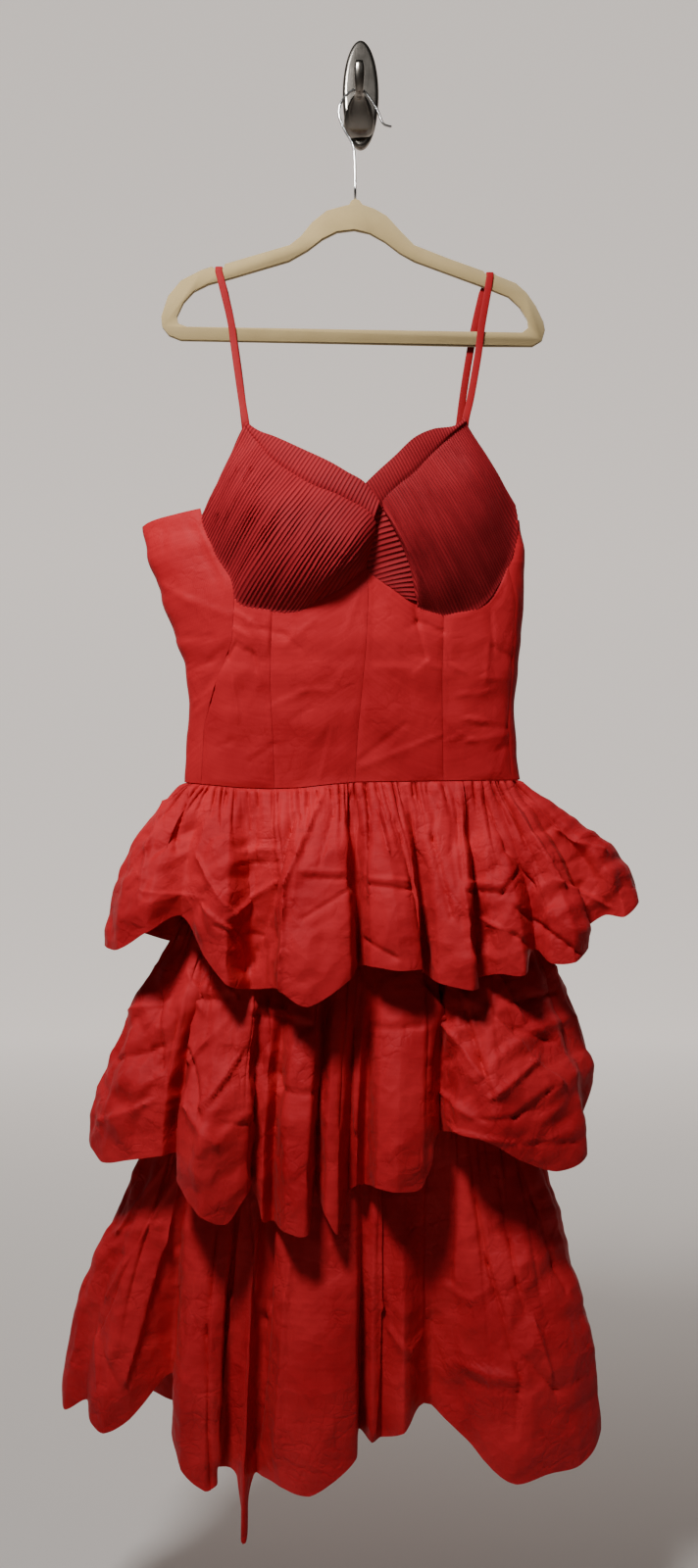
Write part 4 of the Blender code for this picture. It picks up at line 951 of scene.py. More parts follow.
@dataclass(frozen=True)
class Taffeta:
    """Crisp plain-woven cloth with a soft lustre and fine creases, whose crisp crease lines are also
    painted shade in its colour.
    """

    name: str = "red_taffeta"
    # The cloth's tones; deep is also the painted shade laid along the crisp crease lines.
    light: Colour = (0.52, 0.022, 0.029)
    deep: Colour = (0.33, 0.009, 0.0145)
    rib_pitch: float = 0.0011
    roughness: float = 0.48
    crease_depth: float = 0.003
    weave_depth: float = 0.00006
    thread_pitch_share: float = 0.7
    cloud_scale: float = 9.0
    slub_scale: tuple[float, float, float] = (12.0, 260.0, 1.0)
    slub_roughness: float = 0.12
    drift_scale: float = 22.0
    drift: float = 0.022
    cells: tuple[CreaseCells, ...] = (CreaseCells(26.0, 0.7), CreaseCells(68.0, 0.3))
    lines: tuple[CreaseLines, ...] = (CreaseLines(34.0, 11.0, 0.11), CreaseLines(85.0, 8.0, 0.07))
    # Where the crisp crease lines show, both in relief and as painted shade.
    lined_scale: float = 24.0
    lined_from: float = 0.46
    lined_rise: float = 7.0
    cloud_tone: float = 1.6
    slub_tone: float = 0.5
    tone_floor: float = 0.5
    rib_height: float = 0.5
    thread_height: float = 0.3
    slub_height: float = 0.8

    def creases(self, shader: Shader) -> tuple[Wire, Wire]:
        """Add the relief of the creases, whose crisp lines also paint shade into the colour.

        Args:
            shader: The material's shader.

        Returns:
            The soft crumple, and the crisp lines that cross parts of it.
        """
        here = shader.place("Object")
        drift = shader.noise(here, self.drift_scale, 2.0, "Color")
        bent = shader.node("ShaderNodeVectorMath", {"operation": "MULTIPLY_ADD"},
                           {0: drift, 1: (self.drift, self.drift, self.drift), 2: here})
        soft = sum(shader.cells(bent, size.scale) * size.share for size in self.cells)
        where = ((shader.noise(here, self.lined_scale, 2.0) - self.lined_from) * self.lined_rise).clamp()
        crisp = sum(shader.lines(bent, size.scale, size.sharpness) * size.share for size in self.lines)
        return soft, crisp * where

    def make(self) -> bpy.types.Material:
        """Make the material.

        Returns:
            The material.
        """
        shader = Shader(self.name, Sheen_Weight=0.05, Sheen_Roughness=0.35,
                        Sheen_Tint=(1.0, 0.22, 0.20, 1.0), Specular_IOR_Level=0.055)
        cloth = shader.place("UV")
        across, down, _ = shader.axes(cloth)
        clouds = shader.noise(cloth, self.cloud_scale, 2.0)
        slubs = shader.noise(shader.stretch(cloth, self.slub_scale), 1.0, 2.0)
        soft, crisp = self.creases(shader)
        ribs = (down * (2 * math.pi / self.rib_pitch)).sine()
        threads = (across * (2 * math.pi / (self.thread_pitch_share * self.rib_pitch))).sine()
        # Taking away the crisp crease lines paints shade along the creases; the clouds and slubs are the
        # cloth's own uneven tone.
        tone = (clouds * self.cloud_tone + slubs * self.slub_tone - crisp - self.tone_floor).clamp()
        shader.feed("Base Color", shader.mix(tone, (*self.deep, 1.0), (*self.light, 1.0)))
        shader.feed("Roughness", slubs * self.slub_roughness + self.roughness - self.slub_roughness / 2)
        relief = ribs * self.rib_height + threads * self.thread_height + slubs * self.slub_height
        weave = shader.bump(relief, self.weave_depth)
        shader.feed("Normal", shader.bump(soft - crisp, self.crease_depth, weave))
        return shader.material


@dataclass(frozen=True)
class PleatedCloth:
    """The darker, softer cloth of the pleated cups, with painted shade in the pleats' hollows and painted
    light along their crests.
    """

    name: str = "pleated_crimson"
    # light is the crests' colour and deep the hollows': painted light and shade across the pleats, mixed
    # with the cloth's own cloudy tone.
    light: Colour = (0.38, 0.020, 0.026)
    deep: Colour = (0.135, 0.006, 0.009)
    cloud_scale: float = 14.0
    grain_scale: float = 900.0
    grain_depth: float = 0.0001
    roughness: float = 0.50
    cloud_roughness: float = 0.12
    # How much lighter the crests are than the hollows: painted light and shade across the pleats.
    pleat_shade_tone: float = 0.85
    cloud_tone: float = 0.5
    tone_floor: float = 0.2

    def make(self) -> bpy.types.Material:
        """Make the material.

        Returns:
            The material.
        """
        shader = Shader(self.name, Sheen_Weight=0.03, Sheen_Roughness=0.45,
                        Sheen_Tint=(1.0, 0.24, 0.25, 1.0), Specular_IOR_Level=0.05)
        cloth = shader.place("UV")
        clouds = shader.noise(cloth, self.cloud_scale, 3.0)
        grain = shader.noise(cloth, self.grain_scale, 2.0)
        # The crest height paints shade into the pleats' hollows and light along their crests.
        crest = shader.node("ShaderNodeAttribute", {"attribute_name": PLEAT_CREST_SHADE}, {}, "Fac")
        tone = (crest * self.pleat_shade_tone + clouds * self.cloud_tone - self.tone_floor).clamp()
        shader.feed("Base Color", shader.mix(tone, (*self.deep, 1.0), (*self.light, 1.0)))
        shader.feed("Roughness", clouds * self.cloud_roughness + self.roughness)
        shader.feed("Normal", shader.bump(grain, self.grain_depth))
        return shader.material


@dataclass(frozen=True)
class Flock:
    """Short velvet flock on the hanger."""

    name: str = "beige_flock"
    light: Colour = (0.42, 0.31, 0.145)
    deep: Colour = (0.31, 0.22, 0.095)
    fibre_scale: float = 1400.0
    wear_scale: float = 26.0
    fibre_depth: float = 0.0004
    roughness: float = 0.86
    fibre_roughness: float = 0.1
    fibre_tone: float = 0.7
    wear_tone: float = 0.9
    tone_floor: float = 0.3

    def make(self) -> bpy.types.Material:
        """Make the material.

        Returns:
            The material.
        """
        shader = Shader(self.name, Sheen_Weight=0.6, Sheen_Roughness=0.5,
                        Sheen_Tint=(1.0, 0.93, 0.78, 1.0), Specular_IOR_Level=0.15)
        place = shader.place("Object")
        fibres = shader.noise(place, self.fibre_scale, 3.0)
        worn = shader.noise(place, self.wear_scale, 4.0)
        tone = (fibres * self.fibre_tone + worn * self.wear_tone - self.tone_floor).clamp()
        shader.feed("Base Color", shader.mix(tone, (*self.deep, 1.0), (*self.light, 1.0)))
        shader.feed("Roughness", fibres * self.fibre_roughness + self.roughness)
        shader.feed("Normal", shader.bump(fibres, self.fibre_depth))
        return shader.material


@dataclass(frozen=True)
class Metal:
    """A plated metal with faint marks along its grain."""

    name: str
    colour: Colour
    roughness: float
    grain_depth: float
    grain_scale: tuple[float, float, float] = (900.0, 900.0, 60.0)
    smear_scale: float = 70.0
    smear_tone: float = 0.82
    smear_roughness: float = 0.12
    line_roughness: float = 0.08

    def make(self) -> bpy.types.Material:
        """Make the material.

        Returns:
            The material.
        """
        shader = Shader(self.name, Metallic=1.0)
        place = shader.place("Object")
        lines = shader.noise(shader.stretch(place, self.grain_scale), 1.0, 3.0)
        smears = shader.noise(place, self.smear_scale, 4.0)
        darker = tuple(self.smear_tone * part for part in self.colour)
        shader.feed("Base Color", shader.mix(smears, (*darker, 1.0), (*self.colour, 1.0)))
        shader.feed("Roughness", smears * self.smear_roughness + lines * self.line_roughness
                    + self.roughness - self.smear_roughness / 2)
        shader.feed("Normal", shader.bump(lines, self.grain_depth))
        return shader.material


def add_object(name: str, data: bpy.types.ID) -> bpy.types.Object:
    """Add an object to the scene.

    Args:
        name: The object's name.
        data: Its mesh, light or camera.

    Returns:
        The object.
    """
    made = bpy.data.objects.new(name, data)
    bpy.context.scene.collection.objects.link(made)
    return made


def select_only(made: bpy.types.Object) -> None:
    """Select one object and make it the active one.

    Args:
        made: The object.
    """
    bpy.ops.object.select_all(action="DESELECT")
    made.select_set(True)
    bpy.context.view_layer.objects.active = made


def stand_for(made: bpy.types.Object, node: str) -> None:
    """Let a finished piece ride on the one body in the place of its node.

    Args:
        made: The piece.
        node: The node that it replaces.
    """
    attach(made, "root")
    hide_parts(node)


@dataclass
class Piece:
    """One cloth piece: a thin wall over a grid of points."""

    name: str
    material: bpy.types.Material
    slot: Slot = Slot.CLOTH
    thickness: float = 0.6
    sharp_angle: float = 75.0

    def build(self, points: Grid, crests: "Numbers | None" = None) -> bpy.types.Object:
        """Make the wall.

        Args:
            points: The outer face's grid, in millimetres.
            crests: How near each point is to the crest of its pleat, from 0 to 1, stored for the pleated
                cloth's painted pleat shade.

        Returns:
            The object, which replaces the node of its name and rides on the one body.
        """
        rows, columns = points.shape[:2]
        inner = points - self.thickness * grid_normals(points)
        verts = np.concatenate([points.reshape(-1, 3), inner.reshape(-1, 3)]) * MM
        number = np.arange(rows * columns).reshape(rows, columns)
        under = number + rows * columns
        faces = [
            self._quads(number[:-1, :-1], number[1:, :-1], number[1:, 1:], number[:-1, 1:]),
            self._quads(under[:-1, 1:], under[1:, 1:], under[1:, :-1], under[:-1, :-1]),
            self._quads(number[0, :-1], number[0, 1:], under[0, 1:], under[0, :-1]),
            self._quads(number[-1, 1:], number[-1, :-1], under[-1, :-1], under[-1, 1:]),
            self._quads(number[1:, 0], number[:-1, 0], under[:-1, 0], under[1:, 0]),
            self._quads(number[:-1, -1], number[1:, -1], under[1:, -1], under[:-1, -1]),
        ]
        quads = np.concatenate(faces)
        mesh = bpy.data.meshes.new(self.name)
        mesh.from_pydata(verts.tolist(), [], quads.tolist())
        along, down = cloth_lengths(points)
        flat = np.stack([along, -down], axis=-1).reshape(-1, 2) * MM
        spread = np.concatenate([flat, flat])[quads.reshape(-1)]
        mesh.uv_layers.new(name="cloth").data.foreach_set("uv", spread.astype(np.float32).ravel())
        # The crests go into an attribute from which the pleated cloth paints shade in the pleats' hollows.
        if crests is not None:
            both = np.tile(np.broadcast_to(crests, points.shape[:2]).ravel(), 2)
            mesh.attributes.new(PLEAT_CREST_SHADE, "FLOAT", "POINT").data.foreach_set(
                "value", both.astype(np.float32))
        mesh.shade_smooth()
        mesh.set_sharp_from_angle(angle=math.radians(self.sharp_angle))
        mesh.materials.append(self.material)
        made = add_object(self.name + "_cloth", mesh)
        stand_for(made, self.name)
        return made

    @staticmethod
    def _quads(*corners: Numbers) -> Numbers:
        """Return faces from four arrays of vertex numbers."""
        return np.stack([corner.ravel() for corner in corners], axis=-1)


@dataclass
class Bodice:
    """The front panels, the back halves and the underskirt below them."""

    material: bpy.types.Material
    front_rows: int = 70
    columns: int = 40
    back_columns: int = 80
    underskirt_rows: int = 24
    underskirt_columns: int = 60
    tuck: float = 4.0
    tuck_depth: float = 1.6
    seam_dip: float = 0.6
    seam_width: float = 2.5
    calm_by_seam: float = 8.0
    crease_share: float = 0.85

    # How far in from its seams a panel begins, and where the search for its top edge begins.
    FRONT_INSET = 0.0015
    BACK_INSET = 0.0008
    UNDERSKIRT_INSET = 0.0004
    TOP_GUESS_Z = -615.0
    TOP_ROUNDS = 8

    def front_panel(self, name: str, left: Sequence[SeamSpot], right: Sequence[SeamSpot]) -> None:
        """Make one front panel between two seams.

        Args:
            name: The panel's node.
            left: The seam at the viewer's left.
            right: The seam at the viewer's right.
        """
        u = np.linspace(self.FRONT_INSET, 1 - self.FRONT_INSET, self.columns)
        v = np.linspace(0.0, 1.0, self.front_rows)[:, None]
        top = np.full(self.columns, self.TOP_GUESS_Z)
        for _ in range(self.TOP_ROUNDS):
            x = lookup(left, top) + u * (lookup(right, top) - lookup(left, top))
            top = lookup(FRONT_TOP_EDGE, x) + self.tuck
        low = seam_phi(left, np.array(WAIST_LOOKUP_Z))
        high = seam_phi(right, np.array(WAIST_LOOKUP_Z))
        floor = waist_z(low + u * (high - low)) + SEAM_GAP / 2
        height = top + v * (floor - top)
        first = seam_phi(left, height)
        second = seam_phi(right, height)
        points = ring_point(BODICE_RINGS, first + u * (second - first), height)
        points[..., 1] += self.tuck_depth * smooth((height - (top - self.tuck)) / self.tuck)
        self._finish(name, points, BODICE_CREASES, Held.STRETCHED)

    def back_panel(self, name: str, seam: Sequence[SeamSpot], top_edge: Sequence[BackSpot],
                   clockwise: bool) -> None:
        """Make one back half, from the side seam round to the centre back.

        Args:
            name: The panel's node.
            seam: Its side seam.
            top_edge: Its top edge.
            clockwise: Whether its columns run away from the side seam.
        """
        end = CENTRE_BACK_PHI if clockwise else CENTRE_BACK_PHI - FULL_TURN
        u = np.linspace(self.BACK_INSET, 1 - self.BACK_INSET, self.back_columns)
        v = np.linspace(0.0, 1.0, self.front_rows)[:, None]
        share = u if clockwise else 1 - u
        top = lookup(top_edge, share)
        start = seam_phi(seam, np.array(WAIST_LOOKUP_Z))
        floor = waist_z((start + share * (end - start)) % FULL_TURN) + SEAM_GAP / 2
        height = top + v * (floor - top)
        start = seam_phi(seam, height)
        points = ring_point(BODICE_RINGS, (start + share * (end - start)) % FULL_TURN, height)
        self._finish(name, points, WING_CREASES, Held.HUNG)

    def _finish(self, name: str, points: Grid, creases: Sequence[Crease], held: Held) -> None:
        """Args:
            name: The panel's node.
            points: Its plain grid.
            creases: Its fold lines.
            held: How it is held.
        """
        along, down = cloth_lengths(points)
        seed = len(name) + 30 * (held is Held.HUNG)
        crumple = Crumple(height=0.8, reach=26.0, spacing=44.0, seed=seed, spread=1.0).relief(along, down)
        crumple += Facets(height=1.3, wide=50.0, tall=70.0, turn=0.5, seed=seed + 2).relief(along, down)
        crumple += Facets(height=0.25, wide=16.0, tall=22.0, turn=-0.4, seed=seed + 4).relief(along, down)
        to_seam = np.minimum(along, along.max() - along)
        relief = crumple * smooth(to_seam / self.calm_by_seam)
        relief = relief + self.crease_share * crease_relief(points, creases)
        relief -= self.seam_dip * np.exp(-to_seam / self.seam_width)
        rows = np.linspace(0.0, 1.0, points.shape[0])[:, None]
        top_edge, waist_edge = 0.05, 0.03
        relief = relief * smooth(rows / top_edge) * smooth((1 - rows) / waist_edge)
        made = Piece(name, self.material).build(points + relief[..., None] * grid_normals(points))

    def underskirt(self, name: str, first: float, last: float) -> None:
        """Make one half of the plain tube that carries the lower tiers.

        Args:
            name: The half's node.
            first: Phi where it starts.
            last: Phi where it ends.
        """
        u = np.linspace(self.UNDERSKIRT_INSET, 1 - self.UNDERSKIRT_INSET, self.underskirt_columns)
        v = np.linspace(0.0, 1.0, self.underskirt_rows)[:, None]
        phi = first + u * (last - first)
        top = waist_z(phi) + UNDERSKIRT_LAP
        z = top + v * (UNDERSKIRT_FOOT_Z - top)
        points = underskirt_point(np.broadcast_to(phi % FULL_TURN, z.shape), z)
        made = Piece(name, self.material).build(points)

    def build(self) -> None:
        """Make every panel."""
        self.front_panel("front_side_right", SIDE_SEAM_RIGHT, PRINCESS_RIGHT)
        self.front_panel("front_centre_right", PRINCESS_RIGHT, CENTRE_FRONT)
        self.front_panel("front_centre_left", CENTRE_FRONT, PRINCESS_LEFT)
        self.front_panel("front_side_left", PRINCESS_LEFT, SIDE_SEAM_LEFT)
        self.back_panel("back_right", SIDE_SEAM_RIGHT, BACK_TOP_RIGHT, False)
        self.back_panel("back_left", SIDE_SEAM_LEFT, BACK_TOP_LEFT, True)
        self.underskirt("underskirt_front", 0.0, HALF_TURN)
        self.underskirt("underskirt_back", HALF_TURN, FULL_TURN)


def underskirt_point(phi: Numbers, z: Numbers) -> Grid:
    """Place points on the underskirt's outer face, which is just inside the bodice at the waist.

    Args:
        phi: How far round each point is.
        z: How high it is.

    Returns:
        The points.
    """
    def waist_place(angle: Numbers) -> Grid:
        """Return the bodice's point above this height."""
        return ring_point(BODICE_RINGS, angle, np.maximum(z, WAIST_LOOKUP_Z))

    upper = waist_place(phi) - LAYER_STEP * plan_normal(waist_place, phi)
    lower = ring_point(UNDERSKIRT_RINGS, phi, z)
    part = smooth((WAIST_LOOKUP_Z - z) / (WAIST_LOOKUP_Z - UNDERSKIRT_HIP_Z))[..., None]
    point = upper + part * (lower - upper)
    point[..., 2] = z
    return point


@dataclass(frozen=True)
class Gathers:
    """The uneven gathers under a tier's seam: narrow tucks with a puff between each two."""

    seed: int
    count: int = 58

    # Each pair is the least and the greatest that is drawn. Lengths are shares of the tier's depth.
    SCATTER = (-3.0, 3.0)
    PUFF_HEIGHTS = (1.0, 3.0)
    PUFF_LENGTHS = (0.1, 0.3)
    PUFF_FULLNESS = 0.6
    PUFF_START = 0.02
    LONG_SHARE = 0.25
    LONG_LENGTHS = (0.4, 0.95)
    SHORT_LENGTHS = (0.12, 0.34)
    LEANS = (-16.0, 16.0)
    TUCK_SHARE = 0.85
    TUCK_DEPTHS = (3.0, 6.4)
    TUCK_WIDTHS = (1.2, 2.4)
    RIDGE_HEIGHTS = (2.0, 3.6)
    RIDGE_WIDTHS = (4.0, 7.0)
    WIDENING = 2.2
    STEEP_SHARE = 0.4
    START = 0.015
    FADING = 0.7

    def relief(self, points: Grid) -> Numbers:
        """Gather a tier's cloth.

        Args:
            points: The tier's plain grid.

        Returns:
            How far each point stands out.
        """
        draw = np.random.default_rng(self.seed)
        run = running_length(points[0])
        depth = np.linspace(0.0, 1.0, points.shape[0])[:, None]
        spots = np.linspace(0.0, run[-1], self.count) + draw.uniform(*self.SCATTER, self.count)
        spots = np.sort(spots)
        relief = self._puffs(draw, run, depth, spots)
        for spot in spots:
            is_long = draw.random() < self.LONG_SHARE
            length = draw.uniform(*(self.LONG_LENGTHS if is_long else self.SHORT_LENGTHS))
            lean = draw.uniform(*self.LEANS)
            if draw.random() < self.TUCK_SHARE:
                height, width = -draw.uniform(*self.TUCK_DEPTHS), draw.uniform(*self.TUCK_WIDTHS)
            else:
                height, width = draw.uniform(*self.RIDGE_HEIGHTS), draw.uniform(*self.RIDGE_WIDTHS)
            away = (run[None, :] - spot - lean * depth) / (width * (1 + self.WIDENING * depth))
            fade = smooth(depth / self.START) * np.clip(1 - depth / length, 0.0, 1.0) ** self.FADING
            relief += height * np.exp(-np.where(away > 0, away, -away / self.STEEP_SHARE)) * fade
        return relief

    def _puffs(self, draw: np.random.Generator, run: Numbers, depth: Numbers,
               spots: Numbers) -> Numbers:
        """Return the puffs between neighbouring gathers.

        Args:
            draw: The source of chance.
            run: How far each column lies along the seam.
            depth: Each row's share of the tier's depth.
            spots: Where the gathers lie along the seam.

        Returns:
            How far each point stands out.
        """
        ahead = np.clip(np.searchsorted(spots, run), 1, self.count - 1)
        part = np.clip((run - spots[ahead - 1]) / (spots[ahead] - spots[ahead - 1]), 0.0, 1.0)
        height = draw.uniform(*self.PUFF_HEIGHTS, self.count)[ahead]
        puff = height * (4 * part * (1 - part)) ** self.PUFF_FULLNESS
        reach = draw.uniform(*self.PUFF_LENGTHS, self.count)[ahead]
        return puff * smooth(depth / self.PUFF_START) * np.clip(1 - depth / reach, 0.0, 1.0)


@dataclass
class Tier:
    """One gathered tier, in a front and a back half."""

    number: int
    front: Sequence[Wave]
    back: Sequence[Wave]
    flare: Flare
    seam_z: "float | None"
    creases: Sequence[Crease]
    rumples: Sequence[Rumple]
    wander: float
    material: bpy.types.Material

    # How much straighter than a smooth curve phi and the hem's x, y and z run between two waves.
    CRISP = (0.3, 0.4, 0.45, 0.1)
    WAIST_DROP = 0.8
    END_INSET = 0.003
    WANDER_IN = 1.5
    WANDER_SCALE_X = 0.8
    WANDER_SCALE_Y = 3.2
    WANDER_FULLNESS = 0.7
    # Crumple is laid out by x, less a share of y, so that it runs on round the tier's sides.
    ROUND_SHARE = 0.8
    REACH = 400.0
    CRUMPLE_IN = 0.35
    CALM = 0.65
    CALM_FROM = 0.85
    CALM_OVER = 0.15
    CREASES_IN = 0.05
    CURL = 3.0
    CURL_LENGTH = 40
    CURL_FROM = 0.86
    CURL_OVER = 0.14
    PLAIN_END = 8.0

    def seam(self, phi: Numbers) -> Grid:
        """Place the tier's top edge, under the bodice or on the underskirt.

        Args:
            phi: How far round each point is.

        Returns:
            The points.
        """
        if self.seam_z is None:
            return ring_point(BODICE_RINGS, phi, waist_z(phi) - self.WAIST_DROP)
        height = np.full(phi.shape, self.seam_z)

        def place(angle: Numbers) -> Grid:
            """Return the underskirt's point at the seam."""
            return underskirt_point(angle, height)

        return place(phi) + LAYER_STEP * plan_normal(place, phi)

    def loop(self, places: Numbers) -> Numbers:
        """Read the waves, which run on round the tier.

        Args:
            places: Counts of waves.

        Returns:
            Phi at the seam and the hem's x, y and z at each count.
        """
        rows = [(self._phi(wave.share), *wave[1:]) for wave in self.front]
        rows += [(FULL_TURN - self._phi(wave.share), *wave[1:]) for wave in self.back]
        points = np.array(rows)
        start = np.floor(places).astype(int)

        def pick(index: Numbers) -> Numbers:
            """Read rows, counting on round the tier.

            Args:
                index: Counts of rows.

            Returns:
                The rows.
            """
            laps, place = np.divmod(index, len(points))
            found = points[place].copy()
            found[..., 0] += FULL_TURN * laps
            return found

        part = (places - start)[..., None]
        rounded = curve_between(pick(start - 1), pick(start), pick(start + 1), pick(start + 2), part)
        straight = pick(start) + part * (pick(start + 1) - pick(start))
        return rounded + np.array(self.CRISP) * (straight - rounded)

    @staticmethod
    def _phi(percent: float) -> float:
        """Return the front phi at a share of the tier's width, given in percent."""
        return HALF_TURN * (1 - math.acos(percent / 50 - 1) / math.pi)

    def grid(self, places: Numbers, rows: int) -> Grid:
        """Hang the tier's plain cloth, whose folds wander a little.

        Args:
            places: Counts of waves, one a column.
            rows: How many rows the grid has.

        Returns:
            The grid.
        """
        v = np.linspace(0.0, 1.0, rows)[:, None]
        inside = smooth((places - places[0]) / self.WANDER_IN)
        inside = inside * smooth((places[-1] - places) / self.WANDER_IN)
        sway = Noise(60 + self.number).at(places * self.WANDER_SCALE_X, v * self.WANDER_SCALE_Y)
        places = places + self.wander * sway * np.sin(np.pi * v) ** self.WANDER_FULLNESS * inside
        phi, x, y, z = np.moveaxis(self.loop(places), -1, 0)
        top = self.seam(phi % FULL_TURN)
        across = 0.5 * (1 - np.cos(np.pi * (phi % FULL_TURN) / HALF_TURN))
        power = self.flare.right + across * (self.flare.left - self.flare.right)
        swing = np.sin(np.pi / 2 * v) ** power
        return np.stack([top[..., 0] + swing * (x - top[..., 0]), top[..., 1] + swing * (y - top[..., 1]),
                         top[..., 2] + v * (z - top[..., 2])], axis=-1)

    def crumple(self, points: Grid, depth: Numbers, seed: int) -> Numbers:
        """Return the crumple of the tier's lower part, calmer along its hem.

        Args:
            points: The plain grid.
            depth: Each row's share of the tier's depth.
            seed: What the crumple is drawn from.

        Returns:
            How far each point stands out.
        """
        across = points[..., 0] - self.ROUND_SHARE * points[..., 1] + self.REACH
        fallen = -points[..., 2]
        from_top = fallen - fallen.min()
        relief = Crumple(height=2.8, reach=22.0, spacing=34.0, seed=seed).relief(across, from_top)
        relief += Facets(height=5.2, wide=36.0, tall=66.0, turn=0.25, seed=seed + 2).relief(across, fallen)
        relief += Facets(height=2.0, wide=15.0, tall=25.0, turn=-0.5, seed=seed + 4).relief(across, fallen)
        relief *= lookup(self.rumples, points[..., 0]) * smooth(depth / self.CRUMPLE_IN)
        relief *= 1 - self.CALM * smooth((depth - self.CALM_FROM) / self.CALM_OVER)
        return relief

    def half(self, side: str, start: float, end: float, columns: int, rows: int) -> None:
        """Make the front or back half.

        Args:
            side: The word front or back.
            start: The wave that it starts at.
            end: The wave that it ends at.
            columns: How many columns its grid has.
            rows: How many rows its grid has.
        """
        places = np.linspace(start + self.END_INSET, end - self.END_INSET, columns)
        points = self.grid(places, rows)
        along, down = cloth_lengths(points)
        seed = 100 * self.number + (0 if side == "front" else 50)
        depth = np.linspace(0.0, 1.0, rows)[:, None]
        relief = Gathers(40 + self.number).relief(points) + self.crumple(points, depth, seed)
        if side == "front":
            relief += crease_relief(points, self.creases) * smooth(depth / self.CREASES_IN)
        wavy = Noise(seed + 9).at(along / self.CURL_LENGTH, np.zeros_like(down))
        curl = wavy * self.CURL * smooth((depth - self.CURL_FROM) / self.CURL_OVER) ** 2
        ends = columns / self.PLAIN_END
        edge = smooth(np.linspace(0.0, ends, columns)) * smooth(np.linspace(ends, 0.0, columns))
        relief = (relief + curl) * edge[None, :]
        made = Piece(f"tier{self.number}_{side}", self.material).build(
            points + relief[..., None] * grid_normals(points))

    def build(self) -> None:
        """Make both halves."""
        turn = len(self.front) - 1
        self.half("front", 0.0, turn, TIER_COLUMNS, TIER_ROWS)
        self.half("back", turn, len(self.front) + len(self.back), TIER_BACK_COLUMNS, TIER_BACK_ROWS)


